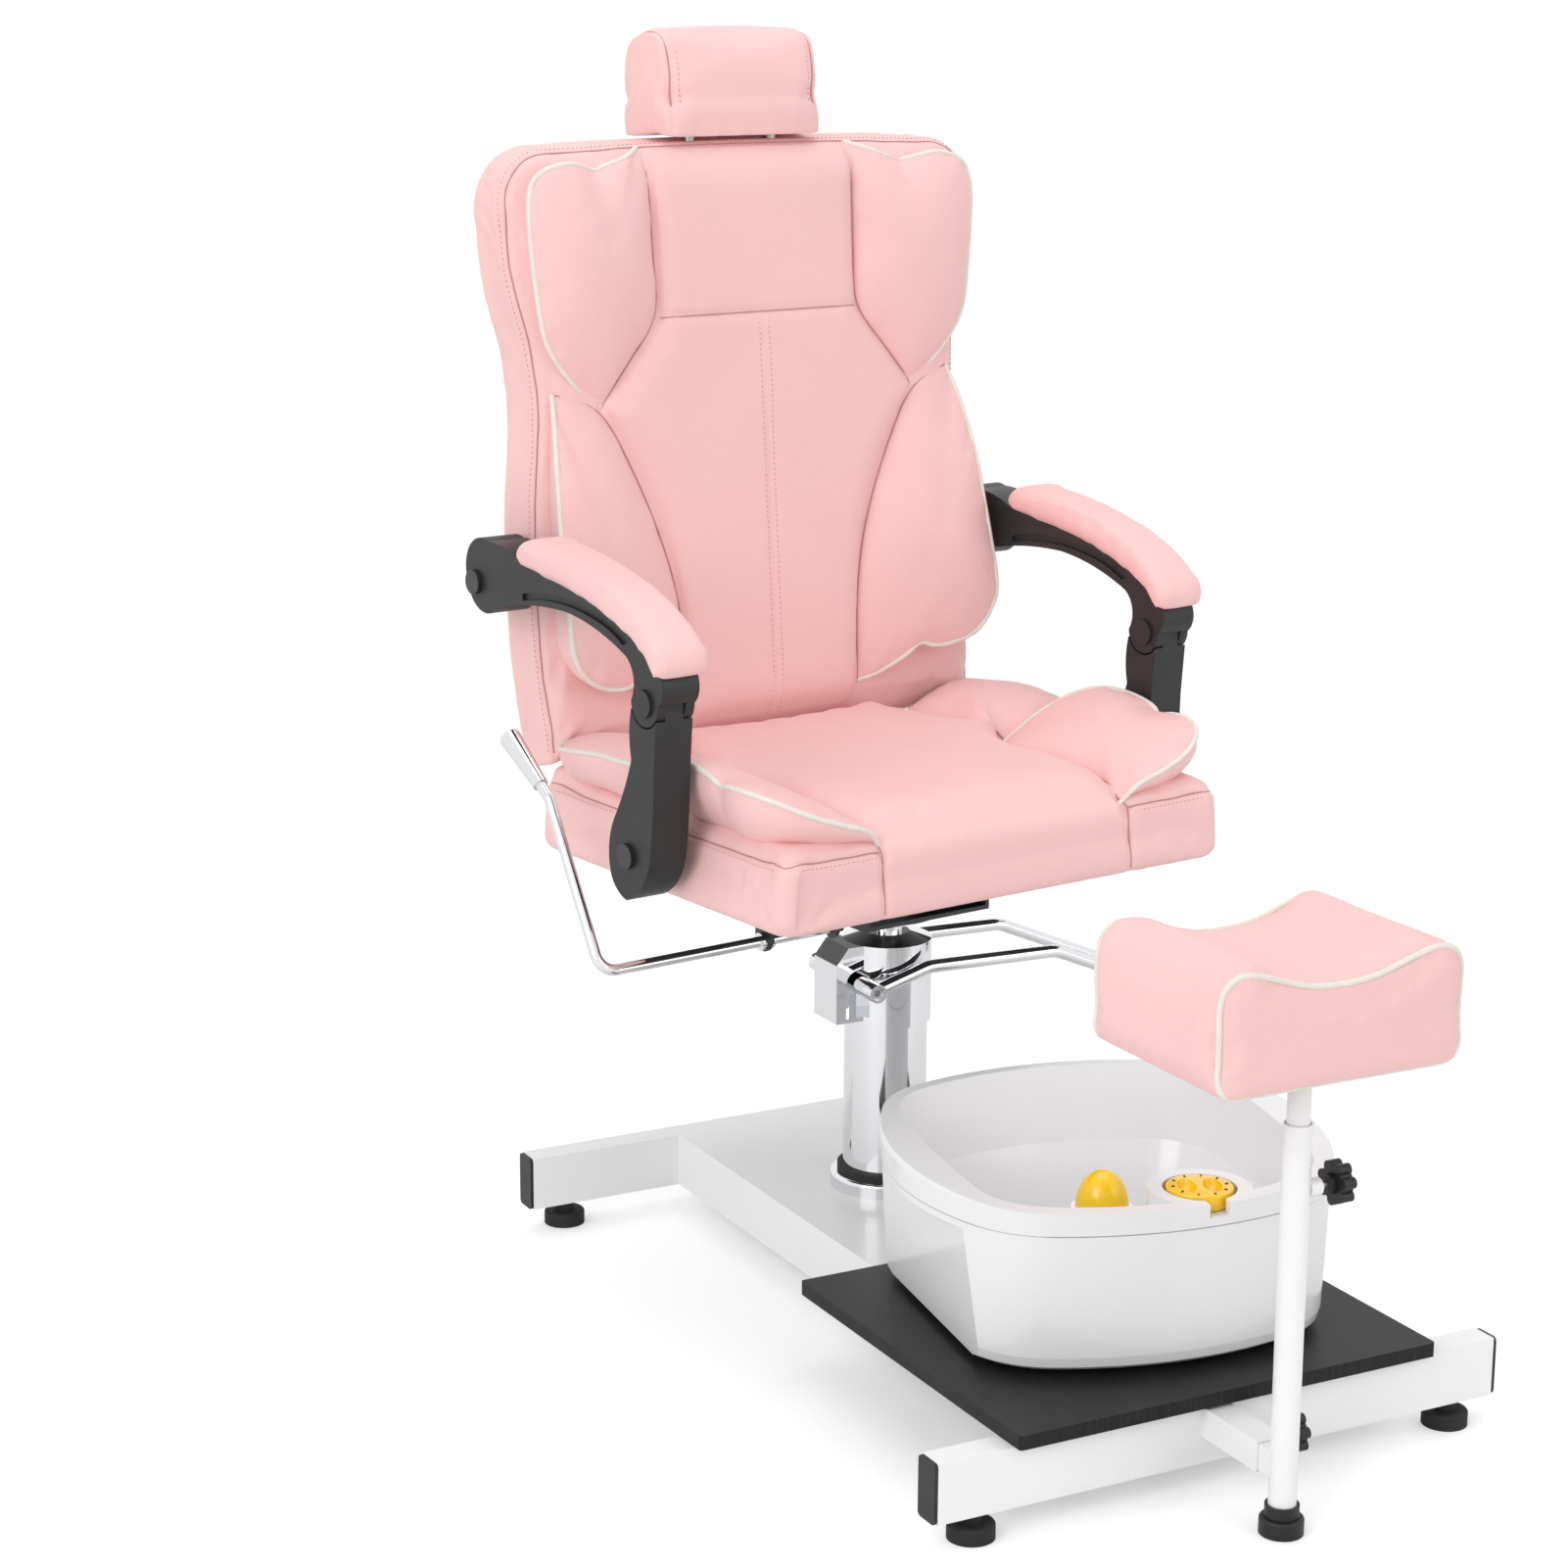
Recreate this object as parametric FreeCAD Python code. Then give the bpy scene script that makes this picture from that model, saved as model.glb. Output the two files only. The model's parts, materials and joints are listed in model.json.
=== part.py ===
import FreeCAD, Part
import math
import os

# Pedicure chair unit: a white tube floor frame carries a hydraulic pump with
# a swivelling, reclining chair, a footrest on a sliding post, and a board with
# a removable foot basin. The sitter faces -Y, their left hand is at +X, +Z is
# up. Lengths are in millimetres and angles in degrees. Everything is drawn
# about the floor frame first: X = 0 in the middle of the crossbars, Y = 0 on
# the front face of the front crossbar and Z = 0 on the floor. The finished
# unit is then moved so that its origin is the middle of its box, on the floor.

Vector = FreeCAD.Vector

# Shared clearances
running_clearance = 0.05
slide_clearance = 0.3
soft_clearance = 0.3
cut_overrun = 5.0

# Floor frame: two rectangular tubes joined by a wide sheet box
bar_length = 534.0
bar_height = 50.0
bar_depth = 25.0
bar_wall = 1.5
frame_depth = 775.0
beam_width = 224.0
beam_wall = 2.0
cap_flange = 3.0
cap_plug_length = 14.0
cap_plug_wall = 2.5
cap_corner = 4.0
foot_height = 22.0
foot_inset = 40.0
foot_radius = 19.0
foot_base_height = 13.0
foot_edge = 2.5
foot_neck_radius = 9.0
foot_stud_radius = 4.0
foot_stud_reach = 18.0

# Board under the basin
board_width = 394.0
board_depth = 352.0
board_thickness = 12.0
board_overhang = 8.0
board_corner = 3.0
screw_radius = 3.0
screw_head_radius = 6.0
screw_head_height = 3.0
screw_bite = 8.0
board_screw_spacing_x = 160.0
board_screw_spacing_y = 220.0
pump_screw_radius = 38.0
pump_screw_count = 4

# Hydraulic pump
pump_setback = 549.0
flange_radius = 50.0
flange_height = 14.0
flange_edge = 4.0
seal_radius = 43.0
seal_height = 6.0
sleeve_radius = 38.0
sleeve_wall = 3.0
sleeve_height = 160.0
head_radius = 41.0
head_height = 76.0
head_dome = 6.0
head_block_reach = 63.0
head_block_depth = 42.0
head_block_chamfer = 15.0
head_slot_radius = 12.5
head_slot_rise = 42.0
head_slot_inner_offset = 28.0
head_slot_depth = 14.0
head_slot_drop = 32.0
piston_radius = 14.0
piston_engagement = 136.0
barrel_radius = 22.0
barrel_foot = 4.0

# Foot pedal: a bent rod loop on a cross shaft through the pump head
pedal_shaft_radius = 6.0
pedal_hub_radius = 8.5
pedal_hub_clearance = 1.0
pedal_hub_end = 58.0
pedal_half_width = 50.0
pedal_rod_radius = 6.0
pedal_rise = 16.0
pedal_rise_run = 56.0
pedal_flat_run = 135.0
pedal_flat_fall = 3.0
pedal_end_run = 150.0
pedal_end_fall = 64.0
pedal_bend = 34.0

# Footrest: stub tube, slide tube, post and its foot
stub_size = 25.0
stub_wall = 1.5
stub_reach = 72.0
stub_inside = 150.0
post_offset = -12.0
post_reach = 90.0
post_radius = 11.0
post_wall = 1.5
post_height = 330.0
slide_wall = 2.0
post_foot_radius = 17.5
post_foot_height = 14.0
post_foot_collar_radius = 13.5
post_foot_collar_height = 10.0
stem_radius = 9.0
stem_insertion = 190.0
stem_exposed = 46.0
knob_boss_radius = 7.0
knob_boss_length = 10.0
knob_screw_radius = 3.0
knob_gap = 7.0
knob_radius = 17.5
knob_lobes = 7
knob_lobe_radius = 4.5
knob_thickness = 11.0
knob_hub_radius = 8.0
knob_hub_length = 5.0
reach_knob_setback = 46.0
height_knob_level = 277.0

# Footrest pad and its steel plate
plate_width = 120.0
plate_depth = 110.0
plate_thickness = 4.0
plate_socket_radius = 13.0
plate_socket_height = 12.0
plate_edge = 6.0
rest_width = 222.0
rest_depth = 168.0
rest_height = 95.0
rest_setback = 33.0
rest_base_pocket = 4.0
rest_dip = 17.0
rest_corner = 16.0

# Chair placing
chair_swivel = 8.0
turntable_radius = 45.0
turntable_thickness = 6.0
turntable_gap = 16.0
spigot_radius = 12.0
spigot_height = 10.0

# Seat
seat_width = 490.0
seat_depth = 381.0
seat_front = 178.0
seat_thickness = 67.0
seat_corner = 16.0
seat_board_thickness = 12.0
seat_board_inset = 17.0
seat_rail_height = 46.0
seat_rail_width = 30.0
seat_rail_length = 96.0
seat_level = 385.0
seat_crown = 13.0
seat_rear_rise = 16.0
bolster_height = 60.0
groove_width = 3.0
groove_depth = 3.0

# Steel bracket under the seat
bracket_width = 290.0
bracket_front = 90.0
bracket_plate = 4.0
bracket_base_half_x = 70.0
bracket_base_half_y = 60.0
bracket_base_plate = 4.0
hinge_lug_half_width = 15.0
hinge_lug_thickness = 5.0
hinge_offset = 140.0
hinge_setback = 228.0
hinge_level = 440.0
hinge_pin_radius = 5.0
hinge_pin_head = 8.0
hinge_pin_head_length = 3.0

# Recline lever
lever_rod_radius = 5.0
lever_level = 326.0
lever_side_gap = 14.0
lever_inner_end = 52.0
lever_arm_run = 80.0
lever_arm_rise = 138.0
lever_grip_run = 58.0
lever_grip_rise = 38.0
lever_bend = 16.0
lever_lug_half_width = 12.0
lever_lug_thickness = 4.0
lever_inner_lug = 60.0
lever_outer_lug = 134.0
lever_collar_radius = 8.0
lever_collar_length = 4.0
grip_length = 62.0
grip_big_radius = 10.0
grip_small_radius = 7.0
grip_collar_length = 6.0

# Back
back_lean = 4.52
back_front_offset = 180.0
back_level = 468.0
back_width = 530.0
back_height = 550.0
back_thickness = 50.0
back_crown = 10.0
back_bolster_height = 42.0
back_board_thickness = 12.0
back_board_side_inset = 50.0
back_board_top_inset = 50.0
back_board_rise = 30.0
back_rail_width = 26.0
back_rail_length = 90.0
back_rail_depth = 24.0
strap_thickness = 5.0
strap_width = 30.0
strap_reach = 150.0

# Headrest
headrest_width = 172.0
headrest_height = 94.0
headrest_depth = 74.0
headrest_setback = 27.0
headrest_pad_setback = 38.0
headrest_gap = 1.0
headrest_post_radius = 5.0
headrest_post_spacing = 90.0
headrest_post_insertion = 110.0
headrest_post_in_pad = 50.0

# Arms: a moulded arm pivots on the back and on a strut that pivots on the seat
arm_side_gap = 2.0
arm_thickness = 37.0
arm_disc_radius = 20.0
arm_cheek_thickness = 9.0
arm_slot_depth = 3.0
arm_pad_width = 52.0
arm_pad_thickness = 20.0
strut_disc_radius = 18.0
strut_gap = 0.5
back_pivot_v = 221.0
back_pivot_level = 631.0
elbow_v = -48.0
elbow_level = 568.0
seat_pivot_v = -22.0
seat_pivot_level = 432.0
arm_bolt_radius = 5.0
arm_bolt_head_radius = 11.0
arm_bolt_head_height = 4.0
arm_spacer_radius = 9.0
elbow_pin_radius = 5.0
elbow_clearance = 1.8
elbow_cap_radius = 12.0
elbow_cap_height = 3.0

# Basin
basin_center_x = 6.5
basin_setback = 196.0
basin_turn = -9.0
basin_half_width = 182.0
basin_half_depth = 166.0
basin_side_radius = 235.0
basin_end_radius = 330.0
basin_corner_radius = 84.0
basin_foot_height = 6.0
basin_foot_radius = 14.0
basin_height = 147.0
basin_rim_fall = 14.0
basin_seam_level = 115.0
basin_wall = 3.0
basin_floor = 12.0
basin_handle_depth = 24.0
basin_handle_top_depth = 13.0
basin_handle_height = 108.0
tub_half_width = 152.0
tub_half_depth = 155.5
tub_setback = 0.5
tub_side_radius = 900.0
tub_end_radius = 300.0
tub_corner_radius = 62.0
ridge_radius = 34.0
ridge_height = 66.0
dome_radius = 22.5
dome_height = 32.0
dome_peg_radius = 8.0
dome_peg_length = 10.0
console_radius = 42.0
console_height = 134.0
console_drop = 70.0
dial_radius = 27.0
dial_height = 12.0
dial_well_depth = 12.0
dial_shaft_radius = 4.0
dial_offset_x = 26.0
dial_offset_y = 127.0
dial_grip_width = 8.0
dial_grip_height = 7.0
dial_notch_width = 18.0

# Shares: places on an outline, counted in half widths and heights or depths
back_side_shares = [
    (0.92, 0.0), (0.964, 0.255), (0.94, 0.465), (0.917, 0.575), (0.943, 0.687),
    (0.99, 0.775), (1.0, 0.865), (0.943, 0.964), (0.774, 0.993),
]
back_top_share = (0.0, 1.0)
panel_side_shares = [
    (0.355, 0.012), (0.375, 0.15), (0.40, 0.29), (0.49, 0.44), (0.66, 0.562),
    (0.545, 0.628), (0.42, 0.703), (0.415, 0.8), (0.425, 0.985),
]
upper_bolster_shares = [
    (0.435, 0.975), (0.66, 0.957), (0.875, 0.945), (0.935, 0.895), (0.922, 0.78),
    (0.895, 0.70), (0.70, 0.585), (0.57, 0.635), (0.43, 0.71), (0.43, 0.81),
]
lower_bolster_shares = [
    (0.69, 0.572), (0.80, 0.60), (0.89, 0.575), (0.915, 0.46), (0.925, 0.22),
    (0.88, 0.105), (0.76, 0.083), (0.58, 0.104), (0.372, 0.06), (0.385, 0.17),
    (0.415, 0.30), (0.51, 0.44),
]
seat_panel_shares = [
    (0.52, 0.045), (0.595, 0.21), (0.565, 0.34), (0.575, 0.47), (0.745, 0.625),
    (0.645, 0.67), (0.565, 0.79), (0.52, 0.88), (0.505, 0.965),
]
front_bolster_shares = [
    (0.575, 0.040), (0.80, 0.030), (0.96, 0.085), (1.01, 0.22), (0.99, 0.46),
    (0.93, 0.575), (0.79, 0.60), (0.67, 0.55), (0.60, 0.43), (0.61, 0.22),
]
rear_bolster_shares = [
    (0.80, 0.64), (0.92, 0.632), (0.985, 0.69), (1.0, 0.79), (0.985, 0.86),
    (0.90, 0.885), (0.57, 0.88), (0.58, 0.80), (0.64, 0.72), (0.69, 0.665),
]
cushion_level_shares = [(0.0, 0.975), (0.1, 1.0), (0.86, 1.0), (1.0, 0.97)]
crown_level_shares = [(0.0, 1.0), (0.55, 0.975), (1.0, 0.86)]
bolster_level_shares = [(0.0, 0.95), (0.3, 1.0), (0.62, 0.95), (0.88, 0.76), (1.0, 0.52)]
casing_level_shares = [(0.0, 0.93), (0.03, 0.957), (0.10, 0.968), (1.0, 0.988)]
tub_level_shares = [(0.0, 0.72), (0.08, 0.80), (0.5, 0.92), (1.0, 1.0)]
arm_body_shares = [
    (1.052, 1.0), (1.045, 1.44), (0.92, 1.62), (0.84, 1.60), (0.73, 1.45),
    (0.50, 1.33), (0.28, 1.16), (0.10, 0.90), (-0.06, 0.52), (-0.10, 0.30),
    (-0.074, 0.0), (0.0, -0.317), (0.074, 0.0), (0.06, 0.30), (0.10, 0.56),
    (0.26, 0.80), (0.44, 0.93), (0.62, 0.90), (0.86, 0.72), (0.99, 0.64),
]
arm_pad_shares = [
    (0.73, 1.47), (0.70, 1.66), (0.60, 1.68), (0.44, 1.60), (0.22, 1.40),
    (0.04, 1.12), (-0.08, 0.78), (-0.115, 0.55), (-0.10, 0.36), (-0.04, 0.60),
    (0.10, 0.93), (0.28, 1.19), (0.50, 1.36), (0.62, 1.42),
]
arm_groove_shares = [
    (0.70, 0.92), (0.50, 1.02), (0.30, 0.95), (0.20, 0.85), (0.12, 0.70),
    (0.10, 0.74), (0.09, 0.79), (0.17, 0.94), (0.28, 1.04), (0.50, 1.12),
    (0.70, 1.02), (0.71, 0.97),
]
strut_shares = [
    (-0.69, 1.0), (0.0, 1.13), (0.69, 1.0), (0.63, 0.75), (0.40, 0.62),
    (0.62, 0.42), (1.0, 0.22), (1.15, 0.04), (0.85, -0.16), (0.35, -0.25),
    (-0.2, -0.29), (-0.85, -0.20), (-1.25, 0.0), (-1.15, 0.30), (-0.95, 0.56),
    (-0.80, 0.80),
]

# Levels and places that follow from the sizes above
bar_top = foot_height + bar_height
board_top = bar_top + board_thickness
head_base = bar_top + sleeve_height
head_top = head_base + head_height
shaft_level = head_base + head_slot_rise
shaft_x = -head_slot_inner_offset - head_slot_radius
turntable_level = head_top + head_dome + turntable_gap
bracket_level = turntable_level + turntable_thickness + slide_clearance
stub_top = bar_top - beam_wall - slide_clearance
stub_axis_level = stub_top - stub_size / 2
slide_size = stub_size - 2 * stub_wall - 2 * slide_clearance
post_top = post_height
stem_top = post_top + stem_exposed
rest_level = stem_top + plate_thickness
seat_half = seat_width / 2
seat_top = seat_level + seat_thickness
back_half = back_width / 2
side_share = max(width for width, rise in back_side_shares[:5])
back_board_width = back_width - 2 * back_board_side_inset
back_board_height = back_height - back_board_rise - back_board_top_inset
arm_inner = max(back_half * side_share, seat_half) + arm_side_gap
arm_outer = arm_inner + arm_thickness
lever_offset = arm_outer + lever_side_gap
fork_inner = arm_inner + arm_cheek_thickness
fork_outer = arm_outer - arm_cheek_thickness
basin_level = board_top + basin_foot_height
basin_top = basin_level + basin_height
seam_level = basin_level + basin_seam_level
floor_top = basin_level + basin_floor
console_top = basin_level + console_height
pump_place = Vector(0, pump_setback, 0)


# Simple solids
def block(x0, x1, y0, y1, z0, z1):
    return Part.makeBox(x1 - x0, y1 - y0, z1 - z0, Vector(x0, y0, z0))


def disc(radius, z0, z1, x=0.0, y=0.0):
    return Part.makeCylinder(radius, z1 - z0, Vector(x, y, z0))


def pin(radius, start, end):
    start, end = Vector(*start), Vector(*end)
    return Part.makeCylinder(radius, (end - start).Length, start, end - start)


def rounded_slab(x0, x1, y0, y1, z0, z1, radius):
    slab = block(x0, x1, y0, y1, z0, z1)
    uprights = [e for e in slab.Edges if abs(e.tangentAt(e.FirstParameter).z) > 0.5]
    return slab.makeFillet(radius, uprights)


def square_tube(x0, x1, y0, y1, z0, z1, wall, along):
    inner = [[x0, x1], [y0, y1], [z0, z1]]
    for number, span in enumerate(inner):
        if number == along:
            span[0] -= cut_overrun
            span[1] += cut_overrun
        else:
            span[0] += wall
            span[1] -= wall
    hole = block(*inner[0], *inner[1], *inner[2])
    return block(x0, x1, y0, y1, z0, z1).cut(hole)


def edges_at_level(solid, level):
    found = []
    for edge in solid.Edges:
        box = edge.BoundBox
        if abs(box.ZMin - level) < slide_clearance and abs(box.ZMax - level) < slide_clearance:
            found.append(edge)
    return found


# Closed outlines of arcs and lines, and lofts through copies of them
def span_edge(first, middle, last):
    bow = (middle - first).cross(last - first).Length
    if bow < slide_clearance * (last - first).Length:
        return Part.LineSegment(first, last).toShape()
    return Part.Arc(first, middle, last).toShape()


def arc_loop(points):
    edges = []
    for index in range(0, len(points), 2):
        last = points[(index + 2) % len(points)]
        edges.append(span_edge(points[index], points[index + 1], last))
    return Part.Wire(edges)


def shrink(points, share):
    middle_x = (min(x for x, y in points) + max(x for x, y in points)) / 2
    middle_y = (min(y for x, y in points) + max(y for x, y in points)) / 2
    return [(middle_x + (x - middle_x) * share, middle_y + (y - middle_y) * share)
            for x, y in points]


def lofted(points, start, height, level_shares, to_space):
    wires = []
    for level_share, width_share in level_shares:
        layer = start + height * level_share
        ring = [to_space(x, y, layer) for x, y in shrink(points, width_share)]
        wires.append(arc_loop(ring))
    return Part.makeLoft(wires, True, True)


def flat_space(x, y, layer):
    return Vector(x, y, layer)


def mirrored_outline(side_points, top_point=None):
    other_side = [(-x, y) for x, y in reversed(side_points)]
    top = (0.0, side_points[-1][1]) if top_point is None else top_point
    return side_points + [top] + other_side + [(0.0, side_points[0][1])]


def mirror_x(shape):
    return shape.mirror(Vector(0, 0, 0), Vector(1, 0, 0))


# Round rods along straight runs joined by tangent arcs
def rounded_path(points, radius):
    edges = []
    points = [Vector(*p) for p in points]
    start = points[0]
    for before, corner, after in zip(points, points[1:], points[2:]):
        inward = (before - corner).normalize()
        outward = (after - corner).normalize()
        half_angle = inward.getAngle(outward) / 2
        trim = radius / math.tan(half_angle)
        arc_start = corner + inward * trim
        arc_end = corner + outward * trim
        bisector = (inward + outward).normalize()
        centre = corner + bisector * (radius / math.sin(half_angle))
        middle = centre - bisector * radius
        edges.append(Part.LineSegment(start, arc_start).toShape())
        edges.append(Part.Arc(arc_start, middle, arc_end).toShape())
        start = arc_end
    edges.append(Part.LineSegment(start, points[-1]).toShape())
    return Part.Wire(edges)


def bent_rod(points, rod_radius, bend_radius):
    path = rounded_path(points, bend_radius)
    start, following = Vector(*points[0]), Vector(*points[1])
    profile = Part.Wire([Part.makeCircle(rod_radius, start, following - start)])
    return path.makePipeShell([profile], True, False)


# Placing of the chair, of its leaning back and of the basin
def chair(shape):
    turned = shape.copy()
    turned.rotate(Vector(0, 0, 0), Vector(0, 0, 1), chair_swivel)
    turned.translate(pump_place)
    return turned


def chair_point(u, v, z):
    angle = math.radians(chair_swivel)
    return Vector(u * math.cos(angle) - v * math.sin(angle),
                  u * math.sin(angle) + v * math.cos(angle) + pump_setback, z)


# A shape drawn with its front face on X-Z and +Y to the rear is leaned back
def lean(shape):
    leaned = shape.copy()
    leaned.rotate(Vector(0, 0, 0), Vector(1, 0, 0), -back_lean)
    leaned.translate(Vector(0, back_front_offset, back_level))
    return chair(leaned)


def back_coordinates(v, z):
    angle = math.radians(back_lean)
    dv, dz = v - back_front_offset, z - back_level
    return (dv * math.cos(angle) - dz * math.sin(angle),
            dv * math.sin(angle) + dz * math.cos(angle))


def basin(shape):
    turned = shape.copy()
    turned.rotate(Vector(0, 0, 0), Vector(0, 0, 1), basin_turn)
    turned.translate(Vector(basin_center_x, basin_setback, 0))
    return turned


# Floor frame
def foot_places():
    half = bar_length / 2 - foot_inset
    rear = frame_depth - bar_depth / 2
    return {
        "front_right_foot": (-half, bar_depth / 2),
        "front_left_foot": (half, bar_depth / 2),
        "rear_right_foot": (-half, rear),
        "rear_left_foot": (half, rear),
    }


def crossbar(front, names):
    half = bar_length / 2 - cap_flange
    tube = square_tube(-half, half, front, front + bar_depth, foot_height, bar_top, bar_wall, 0)
    places = foot_places()
    for name in names:
        x, y = places[name]
        hole_radius = foot_stud_radius + running_clearance
        tube = tube.cut(disc(hole_radius, foot_height - cut_overrun, foot_height + cut_overrun, x, y))
    return tube


def stub_opening(tube):
    half = stub_size / 2
    opening = block(post_offset - half, post_offset + half, -cut_overrun,
                    bar_depth + cut_overrun, stub_top - stub_size, stub_top)
    return tube.cut(opening)


def base_beam():
    half = beam_width / 2
    rear = frame_depth - bar_depth
    return square_tube(-half, half, bar_depth, rear, foot_height, bar_top, beam_wall, 1)


def end_cap(front, side):
    outer = bar_length / 2
    flange = rounded_slab(-bar_depth / 2, bar_depth / 2, -bar_height / 2, bar_height / 2,
                          0, cap_flange, cap_corner)
    plug_x = bar_depth / 2 - bar_wall - slide_clearance
    plug_y = bar_height / 2 - bar_wall - slide_clearance
    plug = square_tube(-plug_x, plug_x, -plug_y, plug_y, -cap_plug_length, 0, cap_plug_wall, 2)
    cap = flange.fuse(plug)
    cap.rotate(Vector(0, 0, 0), Vector(0, 0, 1), 90)
    cap.rotate(Vector(0, 0, 0), Vector(0, 1, 0), 90)
    cap.translate(Vector(outer - cap_flange, front + bar_depth / 2, foot_height + bar_height / 2))
    return cap if side > 0 else mirror_x(cap)


def end_caps():
    rear = frame_depth - bar_depth
    return Part.makeCompound([end_cap(front, side) for front in (0, rear) for side in (-1, 1)])


def levelling_foot(x, y):
    base = disc(foot_radius, 0, foot_base_height, x, y)
    base = base.makeFillet(foot_edge, edges_at_level(base, foot_base_height))
    neck = disc(foot_neck_radius, foot_base_height, foot_height - slide_clearance, x, y)
    stud = disc(foot_stud_radius, foot_base_height, foot_height + foot_stud_reach, x, y)
    return base.fuse([neck, stud])


def basin_board():
    board = rounded_slab(-board_width / 2, board_width / 2, -board_overhang,
                         board_depth - board_overhang, bar_top, board_top, board_corner)
    for x, y in board_screw_places():
        board = board.cut(disc(screw_radius, bar_top - cut_overrun, bar_top + screw_bite, x, y))
    return board


def board_screw_places():
    middle = board_depth / 2
    return [(x, middle + y) for x in (-board_screw_spacing_x / 2, board_screw_spacing_x / 2)
            for y in (-board_screw_spacing_y / 2, board_screw_spacing_y / 2)]


def pump_screw_places():
    step = 2 * math.pi / pump_screw_count
    return [(pump_screw_radius * math.cos(step * (n + 0.5)),
             pump_setback + pump_screw_radius * math.sin(step * (n + 0.5)))
            for n in range(pump_screw_count)]


def drilled_beam():
    beam = base_beam()
    for x, y in board_screw_places() + pump_screw_places():
        beam = beam.cut(disc(screw_radius, bar_top - beam_wall - cut_overrun,
                             bar_top + cut_overrun, x, y))
    return beam


def frame_screws():
    under = bar_top - beam_wall
    screws = []
    for x, y in board_screw_places() + pump_screw_places():
        head = disc(screw_head_radius, under - screw_head_height, under, x, y)
        screws.append(head.fuse(disc(screw_radius, under, bar_top + screw_bite, x, y)))
    return Part.makeCompound(screws)


# Hydraulic pump
def pump_flange():
    top = bar_top + flange_height
    flange = disc(flange_radius, bar_top, top, 0, pump_setback)
    flange = flange.makeFillet(flange_edge, edges_at_level(flange, top))
    flange = flange.cut(disc(sleeve_radius, bar_top + screw_bite + slide_clearance, top + cut_overrun,
                             0, pump_setback))
    flange = flange.cut(disc(barrel_radius, bar_top - cut_overrun, top, 0, pump_setback))
    for x, y in pump_screw_places():
        flange = flange.cut(disc(screw_radius, bar_top - cut_overrun, bar_top + screw_bite, x, y))
    return flange


def pump_seal():
    level = bar_top + flange_height
    ring = disc(seal_radius, level, level + seal_height, 0, pump_setback)
    return ring.cut(disc(sleeve_radius, level - cut_overrun, level + seal_height + cut_overrun,
                         0, pump_setback))


def pump_sleeve():
    base = bar_top + screw_bite + slide_clearance
    tube = disc(sleeve_radius, base, head_base, 0, pump_setback)
    return tube.cut(disc(sleeve_radius - sleeve_wall, base - cut_overrun, head_base + cut_overrun,
                         0, pump_setback))


def pump_barrel():
    barrel = disc(barrel_radius, bar_top, head_base, 0, pump_setback)
    bore = disc(piston_radius + running_clearance, bar_top + barrel_foot, head_base + cut_overrun,
                0, pump_setback)
    return barrel.cut(bore)


def head_chamfer():
    left = -head_block_reach
    corner = [Vector(left, 0, head_top - head_block_chamfer), Vector(left, 0, head_top),
              Vector(left + head_block_chamfer * 0.8, 0, head_top)]
    face = Part.Face(Part.makePolygon(corner + [corner[0]]))
    wedge = face.extrude(Vector(0, head_block_depth, 0))
    wedge.translate(Vector(0, -head_block_depth / 2, 0))
    return wedge


def head_slot(side):
    front = side * head_block_depth / 2
    depth = side * (head_block_depth / 2 - head_slot_depth)
    low, high = sorted((front + side * cut_overrun, depth))
    arch = pin(head_slot_radius, (shaft_x, low, shaft_level), (shaft_x, high, shaft_level))
    well = block(shaft_x - head_slot_radius, shaft_x + head_slot_radius, low, high,
                 shaft_level - head_slot_drop, shaft_level)
    return arch.fuse(well)


def pump_head():
    body = disc(head_radius, head_base, head_top)
    body = body.fuse(block(-head_block_reach, 0, -head_block_depth / 2, head_block_depth / 2,
                           head_base + head_dome, head_top))
    crown = Part.makeCone(head_radius, head_radius * 0.5, head_dome, Vector(0, 0, head_top))
    body = body.fuse(crown).removeSplitter()
    body = body.cut(head_chamfer())
    for side in (-1, 1):
        clear = pin(pedal_hub_radius + pedal_hub_clearance,
                    (shaft_x, side * (head_block_depth / 2 - head_slot_depth), shaft_level),
                    (shaft_x, side * (pedal_hub_end + cut_overrun), shaft_level))
        body = body.cut(head_slot(side).fuse(clear))
    body = body.cut(pin(pedal_shaft_radius + running_clearance,
                        (shaft_x, -head_radius, shaft_level), (shaft_x, head_radius, shaft_level)))
    body = body.cut(disc(piston_radius + running_clearance, head_base - cut_overrun,
                         head_top + head_dome + cut_overrun))
    body.translate(pump_place)
    return body


def pedal_points():
    y, x, z = pedal_half_width, shaft_x, shaft_level
    side = [
        (x, z),
        (x + pedal_rise_run, z + pedal_rise),
        (x + pedal_rise_run + pedal_flat_run, z + pedal_rise - pedal_flat_fall),
        (x + pedal_rise_run + pedal_flat_run + pedal_end_run,
         z + pedal_rise - pedal_flat_fall - pedal_end_fall),
    ]
    return [(px, -y, pz) for px, pz in side] + [(px, y, pz) for px, pz in reversed(side)]


def foot_pedal():
    rod = bent_rod(pedal_points(), pedal_rod_radius, pedal_bend)
    inner = head_block_depth / 2 - head_slot_depth + slide_clearance
    for side in (-1, 1):
        hub = pin(pedal_hub_radius, (shaft_x, side * inner, shaft_level),
                  (shaft_x, side * pedal_hub_end, shaft_level))
        rod = rod.fuse(hub)
    bore = pin(pedal_shaft_radius, (shaft_x, -pedal_hub_end - cut_overrun, shaft_level),
               (shaft_x, pedal_hub_end + cut_overrun, shaft_level))
    rod = rod.cut(bore)
    rod.translate(pump_place)
    return rod


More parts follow.
